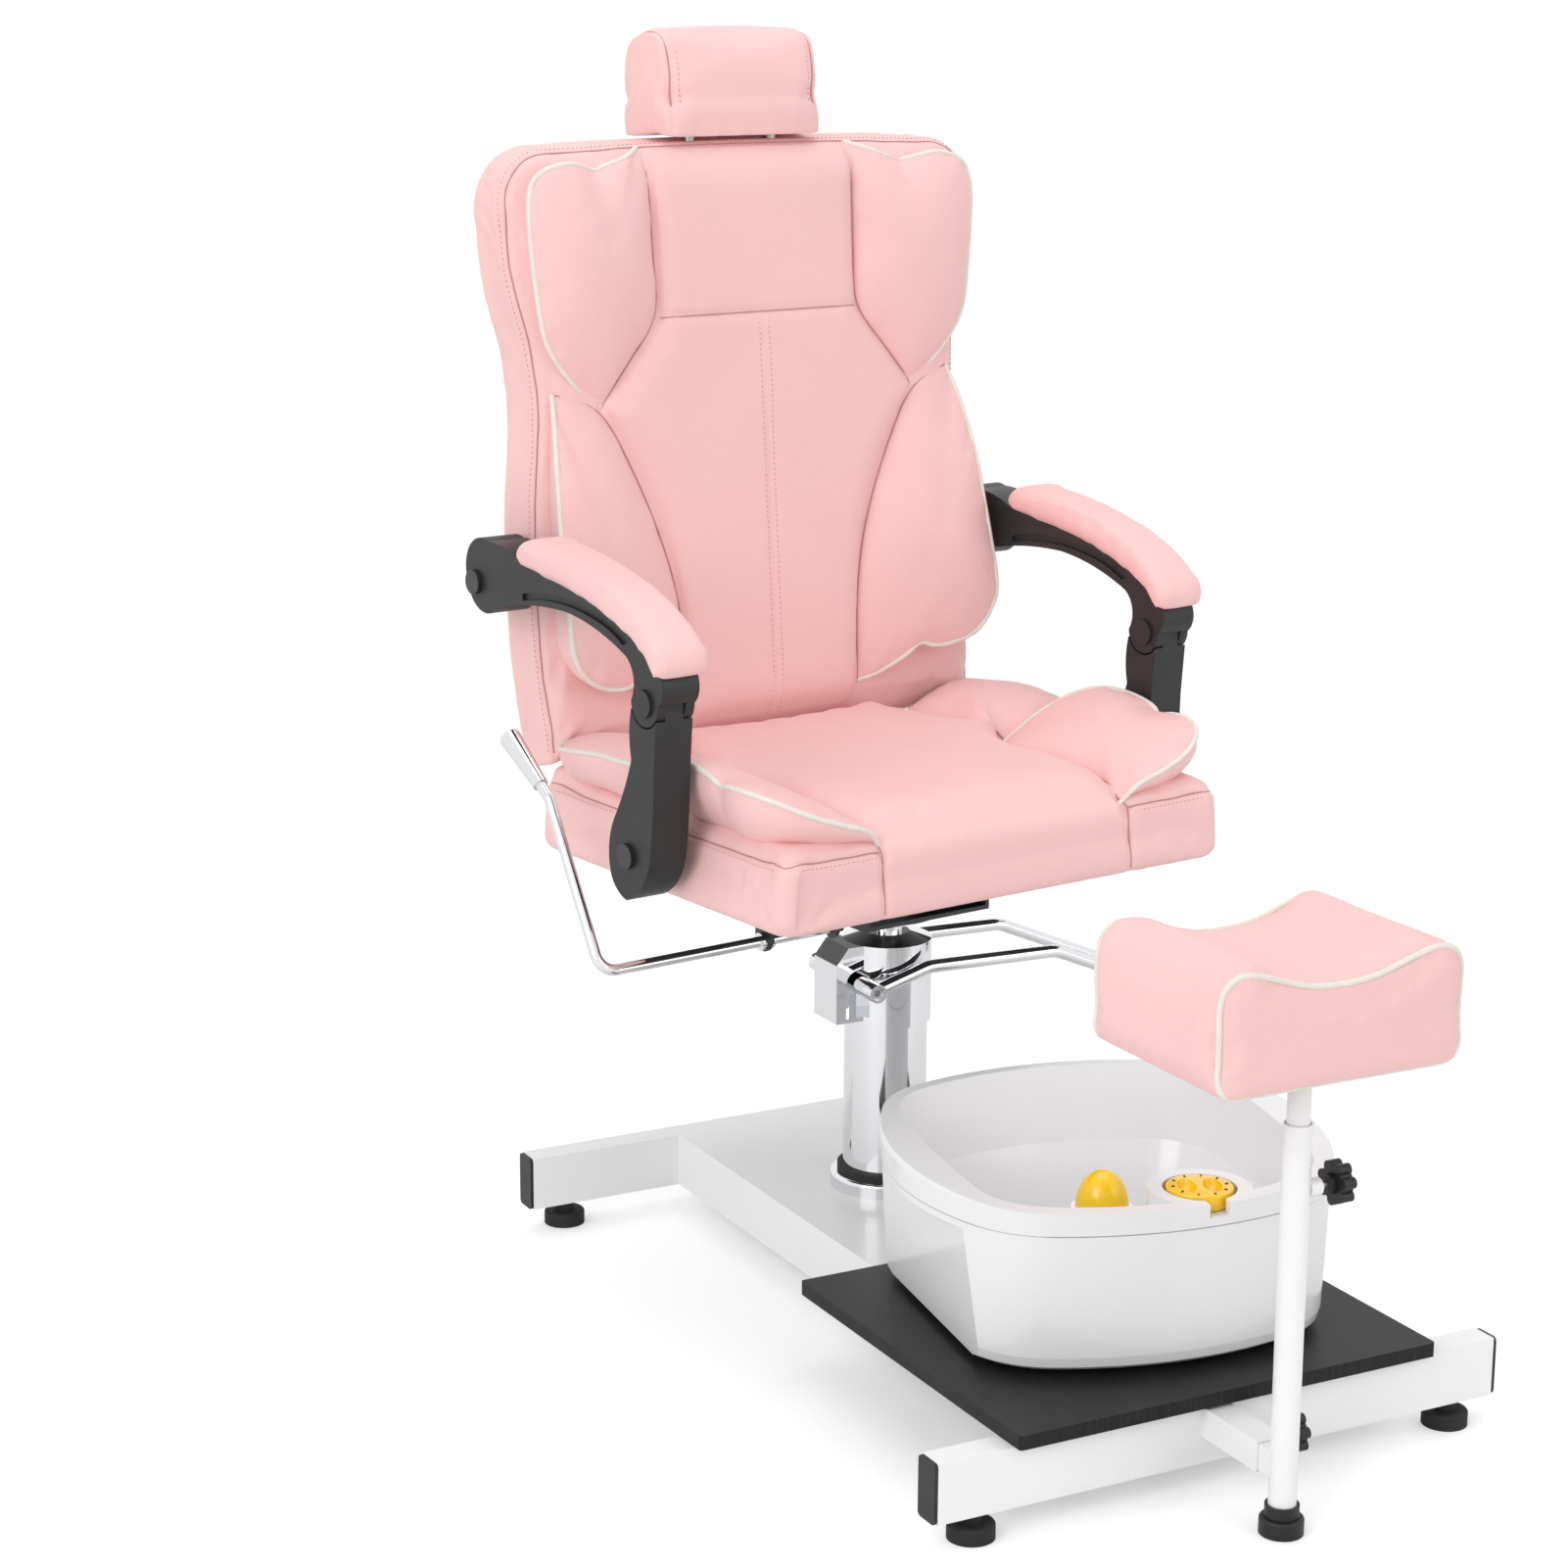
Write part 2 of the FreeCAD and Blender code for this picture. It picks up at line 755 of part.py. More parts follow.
def pedal_shaft():
    end = pedal_hub_end - pedal_shaft_radius / 2
    shaft = pin(pedal_shaft_radius, (shaft_x, -end, shaft_level), (shaft_x, end, shaft_level))
    for side in (-1, 1):
        socket = pin(pedal_shaft_radius / 2, (shaft_x, side * (end - pedal_shaft_radius), shaft_level),
                     (shaft_x, side * (end + cut_overrun), shaft_level))
        shaft = shaft.cut(socket)
    shaft.translate(pump_place)
    return shaft


def pump_piston():
    return disc(piston_radius, head_base - piston_engagement, turntable_level, 0, pump_setback)


def turntable():
    top = turntable_level + turntable_thickness
    plate = disc(turntable_radius, turntable_level, top, 0, pump_setback)
    return plate.fuse(disc(spigot_radius, top, top + spigot_height, 0, pump_setback))


# Footrest
def footrest_stub():
    half = stub_size / 2
    tube = square_tube(post_offset - half, post_offset + half, -stub_reach, stub_inside,
                       stub_top - stub_size, stub_top, stub_wall, 1)
    start = post_offset + half
    boss = pin(knob_boss_radius, (start - stub_wall / 2, -reach_knob_setback, stub_axis_level),
               (start + knob_boss_length, -reach_knob_setback, stub_axis_level))
    hole = pin(knob_screw_radius + running_clearance,
               (start - cut_overrun, -reach_knob_setback, stub_axis_level),
               (start + knob_boss_length + cut_overrun, -reach_knob_setback, stub_axis_level))
    return tube.fuse(boss).cut(hole)


def slide_tube():
    half = slide_size / 2
    front = -post_reach
    tube = square_tube(post_offset - half, post_offset + half, front, stub_inside - stub_size,
                       stub_axis_level - half, stub_axis_level + half, slide_wall, 1)
    return tube.cut(disc(post_radius, 0, post_top, post_offset, -post_reach))


def footrest_post():
    tube = disc(post_radius, post_foot_height, post_top, post_offset, -post_reach)
    tube = tube.cut(disc(post_radius - post_wall, post_foot_height - cut_overrun,
                         post_top + cut_overrun, post_offset, -post_reach))
    start = post_offset + post_radius
    boss = pin(knob_boss_radius, (start - post_wall / 2, -post_reach, height_knob_level),
               (start + knob_boss_length, -post_reach, height_knob_level))
    inner = disc(post_radius - post_wall, post_foot_height, post_top, post_offset, -post_reach)
    hole = pin(knob_screw_radius + running_clearance, (post_offset, -post_reach, height_knob_level),
               (start + knob_boss_length + cut_overrun, -post_reach, height_knob_level))
    return tube.fuse(boss.cut(inner)).cut(hole)


def post_foot():
    base = disc(post_foot_radius, 0, post_foot_height, post_offset, -post_reach)
    base = base.makeFillet(foot_edge, edges_at_level(base, post_foot_height))
    collar = disc(post_foot_collar_radius, post_foot_height,
                  post_foot_height + post_foot_collar_height, post_offset, -post_reach)
    collar = collar.cut(disc(post_radius, post_foot_height, post_foot_height + foot_height,
                             post_offset, -post_reach))
    return base.fuse(collar)


def star_knob(x, y, z):
    body = disc(knob_radius - knob_lobe_radius, 0, knob_thickness)
    for n in range(knob_lobes):
        angle = 2 * math.pi * n / knob_lobes
        reach = knob_radius - knob_lobe_radius
        body = body.fuse(disc(knob_lobe_radius, 0, knob_thickness,
                              reach * math.cos(angle), reach * math.sin(angle)))
    body = body.fuse(disc(knob_hub_radius, -knob_hub_length, 0)).removeSplitter()
    body = body.cut(disc(knob_screw_radius, -knob_hub_length - cut_overrun, knob_thickness / 2))
    body.rotate(Vector(0, 0, 0), Vector(0, 1, 0), 90)
    body.translate(Vector(x, y, z))
    return body


def knob_screw(tip, knob_face, y, z):
    return pin(knob_screw_radius, (tip, y, z), (knob_face + knob_thickness / 2, y, z))


def reach_knob_face():
    return post_offset + stub_size / 2 + knob_boss_length + knob_gap + knob_hub_length


def height_knob_face():
    return post_offset + post_radius + knob_boss_length + knob_gap + knob_hub_length


def footrest_stem():
    stem = disc(stem_radius, post_top - stem_insertion, stem_top - slide_clearance,
                post_offset, -post_reach)
    return stem


def rest_center():
    return post_offset, -post_reach + rest_setback


def footrest_plate():
    x, y = rest_center()
    plate = rounded_slab(x - plate_width / 2, x + plate_width / 2, y - plate_depth / 2,
                         y + plate_depth / 2, stem_top, stem_top + plate_thickness, plate_edge)
    socket = disc(plate_socket_radius, stem_top - plate_socket_height, stem_top,
                  post_offset, -post_reach)
    bore = disc(stem_radius + running_clearance, stem_top - plate_socket_height - cut_overrun,
                stem_top, post_offset, -post_reach)
    return plate.fuse(socket.cut(bore))


def rest_section(share, end):
    half = rest_width / 2 * share
    base = stem_top + (1 - share) * rest_height / 2
    top = stem_top + rest_height - (1 - share) * rest_height / 2
    corner = rest_corner * share
    hump = half * 0.68
    pull = corner * (1 - math.sqrt(0.5))
    side = [
        (half - corner, base), (half - pull, base + pull), (half, base + corner),
        (half * 1.01, (base + top) / 2), (half, top - corner),
        (half * 0.92, top - corner * 0.2), (hump, top),
    ]
    x, y = rest_center()
    ring = mirrored_outline(side, (0, top - rest_dip))
    return arc_loop([Vector(x + px, y + end, pz) for px, pz in ring])


def footrest_pad():
    half = rest_depth / 2
    sections = [rest_section(0.975, -half), rest_section(1.0, -half * 0.93),
                rest_section(1.0, half * 0.93), rest_section(0.975, half)]
    pad = Part.makeLoft(sections, True, True)
    x, y = rest_center()
    pocket = block(x - plate_width / 2 - soft_clearance, x + plate_width / 2 + soft_clearance,
                   y - plate_depth / 2 - soft_clearance, y + plate_depth / 2 + soft_clearance,
                   stem_top - cut_overrun, stem_top + plate_thickness)
    return pad.cut(pocket)


# Seat
def seat_point(share_x, share_y):
    return seat_half * share_x, -seat_front + seat_depth * share_y


def seat_outline():
    half, front, rear = seat_half, -seat_front, seat_depth - seat_front
    corner = seat_corner
    pull = corner * (1 - math.sqrt(0.5))
    return [
        (half - corner, front), (half - pull, front + pull), (half, front + corner),
        (half, 0.0), (half, rear - corner), (half - pull, rear - pull), (half - corner, rear),
        (0.0, rear), (-half + corner, rear), (-half + pull, rear - pull), (-half, rear - corner),
        (-half, 0.0), (-half, front + corner), (-half + pull, front + pull),
        (-half + corner, front), (0.0, front),
    ]


def seat_frame(grow=0.0):
    half = seat_half - seat_board_inset + grow
    front = -seat_front + seat_board_inset - grow
    rear = seat_depth - seat_front - seat_board_inset + grow
    top = seat_level + seat_board_thickness + grow
    board = block(-half, half, front, rear, seat_level, top)
    rail = block(half - seat_rail_width - 2 * grow, half, seat_pivot_v - seat_rail_length / 2 - grow,
                 seat_pivot_v + seat_rail_length / 2 + grow, seat_level, top + seat_rail_height)
    frame = board.fuse([rail, mirror_x(rail)])
    hole_radius = arm_bolt_radius + grow
    reach = seat_half + cut_overrun
    return frame, pin(hole_radius, (-reach, seat_pivot_v, seat_pivot_level),
                      (reach, seat_pivot_v, seat_pivot_level))


def seat_board():
    frame, hole = seat_frame()
    return chair(frame.cut(hole))


# The seat's crown grows thicker towards the back
def crown_space(x, y, layer):
    share = layer / seat_crown
    return Vector(x, y, seat_top + layer + seat_rear_rise * share * (y + seat_front) / seat_depth)


def seat_cushion():
    body = lofted(seat_outline(), seat_level, seat_thickness, cushion_level_shares, flat_space)
    panel = mirrored_outline([seat_point(*share) for share in seat_panel_shares])
    crown = lofted(panel, 0.0, seat_crown, crown_level_shares, crown_space)
    body = body.fuse(crown)
    for side in (-1, 1):
        x = side * seat_point(seat_panel_shares[0][0], 0)[0]
        groove = block(x - groove_width / 2, x + groove_width / 2, -seat_front - cut_overrun,
                       -seat_front + groove_depth, seat_level - cut_overrun, seat_top + cut_overrun)
        body = body.cut(groove)
    frame, hole = seat_frame(soft_clearance)
    below = block(-seat_half, seat_half, -seat_front, seat_depth, seat_level - cut_overrun, seat_level)
    return chair(body.cut(frame.fuse(below)).cut(hole))


def pair(shape):
    return Part.makeCompound([shape, mirror_x(shape)])


def seat_bolsters(shares):
    points = [seat_point(*share) for share in shares]
    one = lofted(points, seat_top, bolster_height, bolster_level_shares, flat_space)
    return chair(pair(one))


def hinge_lug():
    inner = hinge_offset
    plate_rear = hinge_setback + hinge_lug_half_width
    low = seat_level - bracket_plate
    lug = block(inner, inner + hinge_lug_thickness, hinge_setback - hinge_lug_half_width,
                plate_rear, low, hinge_level)
    return lug.fuse(pin(hinge_lug_half_width, (inner, hinge_setback, hinge_level),
                        (inner + hinge_lug_thickness, hinge_setback, hinge_level)))


def lever_lug(inner, top):
    half = lever_lug_half_width
    low = lever_level - half
    lug = block(-inner - lever_lug_thickness, -inner, -half, half, lever_level, top)
    round_end = pin(half - lever_rod_radius / 2, (-inner - lever_lug_thickness, 0, lever_level),
                    (-inner, 0, lever_level))
    return lug.fuse(round_end)


def seat_bracket():
    plate_low = seat_level - bracket_plate
    half = bracket_width / 2
    base_low = bracket_level
    base_high = base_low + bracket_base_plate
    parts = [block(-half, half, -bracket_front, hinge_setback + hinge_lug_half_width,
                   plate_low, seat_level)]
    parts.append(block(-bracket_base_half_x, bracket_base_half_x, -bracket_base_half_y,
                       bracket_base_half_y, base_low, base_high))
    wall = bracket_base_plate
    for side in (-1, 1):
        outer = side * bracket_base_half_x
        low, high = sorted((outer, outer - side * wall))
        parts.append(block(low, high, -bracket_base_half_y, bracket_base_half_y,
                           base_high, plate_low))
        lug = hinge_lug()
        parts.append(lug if side > 0 else mirror_x(lug))
    parts.append(lever_lug(lever_inner_lug, base_low))
    parts.append(lever_lug(lever_outer_lug, plate_low))
    body = parts[0].fuse(parts[1:])
    body = body.cut(disc(spigot_radius + running_clearance, base_low - cut_overrun,
                         base_high + cut_overrun))
    body = body.cut(pin(lever_rod_radius + running_clearance,
                        (-half - cut_overrun, 0, lever_level), (0, 0, lever_level)))
    reach = half + cut_overrun
    body = body.cut(pin(hinge_pin_radius, (-reach, hinge_setback, hinge_level),
                        (reach, hinge_setback, hinge_level)))
    return chair(body)


def hinge_pins():
    inner = hinge_offset - strap_thickness - slide_clearance
    outer = hinge_offset + hinge_lug_thickness
    shank = pin(hinge_pin_radius, (inner, hinge_setback, hinge_level),
                (outer, hinge_setback, hinge_level))
    for start, end in ((outer, outer + hinge_pin_head_length),
                       (inner - slide_clearance - hinge_pin_head_length, inner - slide_clearance)):
        shank = shank.fuse(pin(hinge_pin_head, (start, hinge_setback, hinge_level),
                               (end, hinge_setback, hinge_level)))
    neck = pin(hinge_pin_radius, (inner - slide_clearance, hinge_setback, hinge_level),
               (inner, hinge_setback, hinge_level))
    return chair(pair(shank.fuse(neck)))


def strut_bolts():
    inner = seat_half - seat_board_inset - seat_rail_width
    shank = pin(arm_bolt_radius, (inner, seat_pivot_v, seat_pivot_level),
                (arm_outer + slide_clearance, seat_pivot_v, seat_pivot_level))
    spacer = pin(arm_spacer_radius, (seat_half + soft_clearance, seat_pivot_v, seat_pivot_level),
                 (arm_inner - slide_clearance, seat_pivot_v, seat_pivot_level))
    cap_start = arm_outer + slide_clearance
    cap = pin(arm_bolt_head_radius, (cap_start, seat_pivot_v, seat_pivot_level),
              (cap_start + arm_bolt_head_height, seat_pivot_v, seat_pivot_level))
    return chair(pair(shank.fuse([spacer, cap])))


# Recline lever and grip
def grip_start():
    return Vector(-lever_offset, lever_arm_run, lever_level + lever_arm_rise)


def grip_direction():
    return Vector(0, lever_grip_run, lever_grip_rise).normalize()


def recline_lever():
    start = grip_start()
    end = start + grip_direction() * (lever_bend * 3)
    points = [(-lever_inner_end, 0, lever_level), (-lever_offset, 0, lever_level),
              tuple(start), tuple(end)]
    rod = bent_rod(points, lever_rod_radius, lever_bend)
    for place in (-lever_outer_lug - lever_lug_thickness - slide_clearance - lever_collar_length,
                  -lever_outer_lug + slide_clearance):
        rod = rod.fuse(pin(lever_collar_radius, (place, 0, lever_level),
                           (place + lever_collar_length, 0, lever_level)))
    return chair(rod)


def lever_grip():
    direction = grip_direction()
    start = grip_start() + direction * lever_bend
    collar = Part.makeCylinder(grip_small_radius, grip_collar_length, start, direction)
    body = Part.makeCone(grip_small_radius, grip_big_radius, grip_length - grip_collar_length,
                         start + direction * grip_collar_length, direction)
    tip = [e for e in body.Edges if e.Closed and abs(e.Length - 2 * math.pi * grip_big_radius) < slide_clearance]
    body = body.makeFillet(grip_small_radius / 2, tip)
    bore = Part.makeCylinder(lever_rod_radius, lever_bend * 2, start, direction)
    return chair(collar.fuse(body).cut(bore))


# Back
def back_point(share_x, share_y):
    return back_half * share_x, back_height * share_y


def upright_space(x, z, layer):
    return Vector(x, layer, z)


def back_frame(grow=0.0):
    rear = back_thickness
    front = rear - back_board_thickness - grow
    half = back_board_width / 2 + grow
    board = block(-half, half, front, rear, back_board_rise - grow,
                  back_board_rise + back_board_height + grow)
    n, s = back_coordinates(back_pivot_v, back_pivot_level)
    rail = block(half - 2 * grow, half + back_rail_width, rear - back_rail_depth - grow, rear,
                 s - back_rail_length / 2 - grow, s + back_rail_length / 2 + grow)
    frame = board.fuse([rail, mirror_x(rail)])
    reach = back_half + cut_overrun
    hole = pin(arm_bolt_radius + grow, (-reach, n, s), (reach, n, s))
    posts = headrest_post_pins(-headrest_post_insertion - cut_overrun, headrest_gap,
                               headrest_post_radius + running_clearance + grow)
    return frame, hole, posts


def headrest_post_pins(low, high, radius):
    half = headrest_post_spacing / 2
    middle = headrest_setback
    return [pin(radius, (x, middle, back_height + low), (x, middle, back_height + high))
            for x in (-half, half)]


def back_board():
    frame, hole, posts = back_frame()
    return lean(frame.cut(hole))


def back_cushion():
    outline = mirrored_outline([back_point(*s) for s in back_side_shares], back_point(*back_top_share))
    body = lofted(outline, back_thickness, -back_thickness, cushion_level_shares, upright_space)
    panel = mirrored_outline([back_point(*s) for s in panel_side_shares])
    crown = lofted(panel, 0.0, -back_crown, crown_level_shares, upright_space)
    body = body.fuse(crown)
    seam_level = back_point(0, panel_side_shares[6][1])[1]
    groove = block(-groove_width / 2, groove_width / 2, -back_crown - cut_overrun,
                   -back_crown + groove_depth, -cut_overrun, seam_level)
    cross = block(-back_half, back_half, -back_crown - cut_overrun, -back_crown + groove_depth,
                  seam_level, seam_level + groove_width)
    body = body.cut(groove).cut(cross)
    frame, hole, posts = back_frame(soft_clearance)
    return lean(body.cut(frame).cut(hole).cut(posts[0]).cut(posts[1]))


def back_bolsters(shares):
    points = [back_point(*share) for share in shares]
    one = lofted(points, 0.0, -back_bolster_height, bolster_level_shares, upright_space)
    return lean(pair(one))


def hinge_straps():
    n, s = back_coordinates(hinge_setback, hinge_level)
    rear = back_thickness
    x0 = hinge_offset - slide_clearance - strap_thickness
    x1 = hinge_offset - slide_clearance
    foot = pin(strap_width / 2, (x0, n, s), (x1, n, s))
    side = block(x0, x1, n - strap_width / 2, n + strap_width / 2, s, back_board_rise)
    flat = block(x0 - strap_width, x1, rear, rear + strap_thickness, s + strap_width,
                 strap_reach)
    web = block(x0, x1, n - strap_width / 2, rear + strap_thickness, s + strap_width / 2,
                strap_reach)
    body = foot.fuse([side, flat, web])
    front_of_back = block(x0 - strap_width, x1 + cut_overrun, -back_thickness, rear,
                          -soft_clearance, back_height)
    body = body.cut(front_of_back)
    body = body.cut(pin(hinge_pin_radius + running_clearance, (x0 - cut_overrun, n, s),
                        (x1 + cut_overrun, n, s)))
    return lean(pair(body))


def arm_bolts():
    n, s = back_coordinates(back_pivot_v, back_pivot_level)
    start = back_board_width / 2
    body = pin(arm_bolt_radius, (start, n, s), (arm_outer + slide_clearance, n, s))
    cap = pin(arm_bolt_head_radius, (arm_outer + slide_clearance, n, s),
              (arm_outer + slide_clearance + arm_bolt_head_height, n, s))
    return lean(pair(body.fuse(cap)))


# Headrest
def headrest_section(x, share):
    half_depth = headrest_depth / 2 * share
    base = back_height + headrest_gap + headrest_height * (1 - share) / 2
    height = headrest_height * share
    middle = headrest_pad_setback
    points = [
        (-0.6, 0.0), (-0.95, 0.04), (-1.0, 0.3), (-1.0, 0.66), (-0.86, 0.88),
        (-0.62, 0.97), (-0.2, 1.0), (0.4, 0.97), (0.8, 0.84), (0.98, 0.6),
        (1.0, 0.32), (0.94, 0.06), (0.6, 0.0), (0.0, 0.0),
    ]
    return arc_loop([Vector(x, middle + half_depth * py, base + height * pz) for py, pz in points])


def headrest_pad():
    half = headrest_width / 2
    sections = [headrest_section(-half, 0.93), headrest_section(-half * 0.93, 0.985),
                headrest_section(-half * 0.5, 1.0), headrest_section(half * 0.5, 1.0),
                headrest_section(half * 0.93, 0.985), headrest_section(half, 0.93)]
    pad = Part.makeLoft(sections, True, True)
    for post in headrest_post_pins(0, headrest_post_in_pad + soft_clearance,
                                   headrest_post_radius + soft_clearance):
        pad = pad.cut(post)
    return lean(pad)


def headrest_posts():
    return lean(Part.makeCompound(headrest_post_pins(-headrest_post_insertion, headrest_post_in_pad,
                                                     headrest_post_radius)))


# Arms
def side_space(v, z, layer):
    return Vector(layer, v, z)


def profile(points, inner, outer):
    face = Part.Face(arc_loop([Vector(inner, v, z) for v, z in points]))
    return face.extrude(Vector(outer - inner, 0, 0))


def arm_place(share_v, share_z):
    run = back_pivot_v - elbow_v
    rise = back_pivot_level - elbow_level
    return elbow_v + run * share_v, elbow_level + rise * share_z


def left_arm():
    body = profile([arm_place(*s) for s in arm_body_shares], arm_inner, arm_outer)
    elbow_room = pin(arm_disc_radius + strut_gap * 3, (fork_inner, elbow_v, elbow_level),
                     (fork_outer, elbow_v, elbow_level))
    below = block(fork_inner, fork_outer, elbow_v - arm_disc_radius * 2,
                  elbow_v + arm_disc_radius * 1.075, elbow_level - arm_disc_radius * 2, elbow_level)
    body = body.cut(elbow_room).cut(below)
    body = body.cut(pin(elbow_pin_radius + elbow_clearance,
                        (arm_inner - cut_overrun, elbow_v, elbow_level),
                        (arm_outer, elbow_v, elbow_level)))
    body = body.cut(left_arm_pad())
    groove = [arm_place(*s) for s in arm_groove_shares]
    for face in (arm_inner, arm_outer):
        body = body.cut(profile(groove, face - arm_slot_depth, face + arm_slot_depth))
    for start, end in ((arm_inner, arm_inner - elbow_cap_height),
                       (arm_outer, arm_outer + elbow_cap_height)):
        body = body.fuse(pin(elbow_cap_radius, (start, elbow_v, elbow_level),
                             (end, elbow_v, elbow_level)))
    body = body.cut(pin(arm_bolt_radius + running_clearance,
                        (arm_inner - cut_overrun, back_pivot_v, back_pivot_level),
                        (arm_outer + cut_overrun, back_pivot_v, back_pivot_level)))
    return body


def left_arm_pad():
    middle = (arm_inner + arm_outer) / 2
    points = [arm_place(*s) for s in arm_pad_shares]
    half = arm_pad_width / 2
    wires = []
    for offset, share in ((-half, 0.97), (-half * 0.8, 1.0), (half * 0.8, 1.0), (half, 0.97)):
        ring = shrink(points, share)
        wires.append(arc_loop([Vector(middle + offset, v, z) for v, z in ring]))
    return Part.makeLoft(wires, True, True)


def strut_place(share_v, share_z):
    rise = elbow_level - seat_pivot_level
    lean_v = elbow_v - seat_pivot_v
    half = arm_disc_radius * 1.3
    v = seat_pivot_v + lean_v * share_z + half * share_v
    return v, seat_pivot_level + rise * share_z


def left_strut():
    body = profile([strut_place(*s) for s in strut_shares], arm_inner, arm_outer)
    knuckle_inner, knuckle_outer = fork_inner + strut_gap, fork_outer - strut_gap
    for start, end in ((arm_inner - cut_overrun, knuckle_inner),
                       (knuckle_outer, arm_outer + cut_overrun)):
        body = body.cut(pin(arm_disc_radius + strut_gap * 3, (start, elbow_v, elbow_level),
                            (end, elbow_v, elbow_level)))
    body = body.cut(pin(arm_bolt_radius + running_clearance,
                        (arm_inner - cut_overrun, seat_pivot_v, seat_pivot_level),
                        (arm_outer + cut_overrun, seat_pivot_v, seat_pivot_level)))
    return body.fuse(pin(elbow_pin_radius, (arm_inner + strut_gap, elbow_v, elbow_level),
                         (arm_outer - strut_gap, elbow_v, elbow_level)))


# Basin
def oval_points(half_width, half_depth, side_radius, end_radius, corner_radius, setback=0.0):
    """An oval of eight arcs that run smoothly into each other, as an outline for arcs."""
    side_x, end_y = half_width - side_radius, half_depth - end_radius
    to_side, to_end = side_radius - corner_radius, end_radius - corner_radius
    gap = math.hypot(side_x, end_y)
    along = (to_side ** 2 - to_end ** 2 + gap ** 2) / (2 * gap)
    across = math.sqrt(to_side ** 2 - along ** 2)
    step_x, step_y = -side_x / gap, end_y / gap
    corner_x = side_x + along * step_x - across * step_y
    corner_y = along * step_y + across * step_x
    side_angle = math.atan2(corner_y, corner_x - side_x)
    end_angle = math.atan2(corner_y - end_y, corner_x)
    middle = (side_angle + end_angle) / 2
    quarter = [(half_width, 0.0)]
    for angle in (side_angle, middle, end_angle):
        quarter.append((corner_x + corner_radius * math.cos(angle),
                        corner_y + corner_radius * math.sin(angle)))
    quarter.append((0.0, half_depth))
    other = [(-x, y) for x, y in reversed(quarter[:-1])]
    half = quarter + other
    below = [(x, -y) for x, y in reversed(half[1:-1])]
    ring = half + below
    ring = ring[1:] + ring[:1]
    return [(x, y + setback) for x, y in ring]


def basin_outline():
    return oval_points(basin_half_width, basin_half_depth, basin_side_radius, basin_end_radius,
                       basin_corner_radius)


def basin_casing():
    outline = basin_outline()
    height = seam_level - basin_level
    body = lofted(outline, basin_level, height, casing_level_shares, flat_space)
    trim = basin_wall / basin_half_depth
    inner_shares = [(level, share - trim) for level, share in casing_level_shares]
    hollow = lofted(outline, basin_level + basin_wall, height, inner_shares, flat_space)
    body = body.cut(hollow)
    for side in (-1, 1):
        body = flat_side(body, side)
    return basin(body)


# A flat hand hold low on each side: the wall is cut back and closed by a panel and a roof
def side_prism(points, side):
    corners = [Vector(side * x, -basin_half_depth, z) for x, z in points]
    face = Part.Face(Part.makePolygon(corners + [corners[0]]))
    return face.extrude(Vector(0, 2 * basin_half_depth, 0))


def flat_side(body, side):
    widest = basin_half_width * casing_level_shares[1][1]
    foot, head = widest - basin_handle_depth, widest - basin_handle_top_depth
    outer, wall = basin_half_width + cut_overrun, basin_wall
    low, high = basin_level, basin_level + basin_handle_height
    full = lofted(basin_outline(), basin_level, seam_level - basin_level, casing_level_shares,
                  flat_space)
    recess = side_prism([(foot, low - cut_overrun), (foot, low), (head, high), (outer, high),
                         (outer, low - cut_overrun)], side)
    lining = side_prism([(foot, low), (head, high), (outer, high), (outer, high + wall),
                         (head - wall, high + wall), (foot - wall, low)], side)
    return body.cut(recess).fuse(lining.common(full))


def cavity_points():
    return oval_points(tub_half_width, tub_half_depth, tub_side_radius, tub_end_radius,
                       tub_corner_radius, tub_setback)


# Everything above the rim, which falls towards the front
def above_rim():
    width, depth = basin_half_width + cut_overrun, basin_half_depth + cut_overrun
    fall = basin_rim_fall * (depth + basin_half_depth) / (2 * basin_half_depth)
    side = [Vector(-width, depth, basin_top), Vector(-width, -depth, basin_top - fall),
            Vector(-width, -depth, basin_top + basin_height),
            Vector(-width, depth, basin_top + basin_height)]
    return Part.Face(Part.makePolygon(side + [side[0]])).extrude(Vector(2 * width, 0, 0))


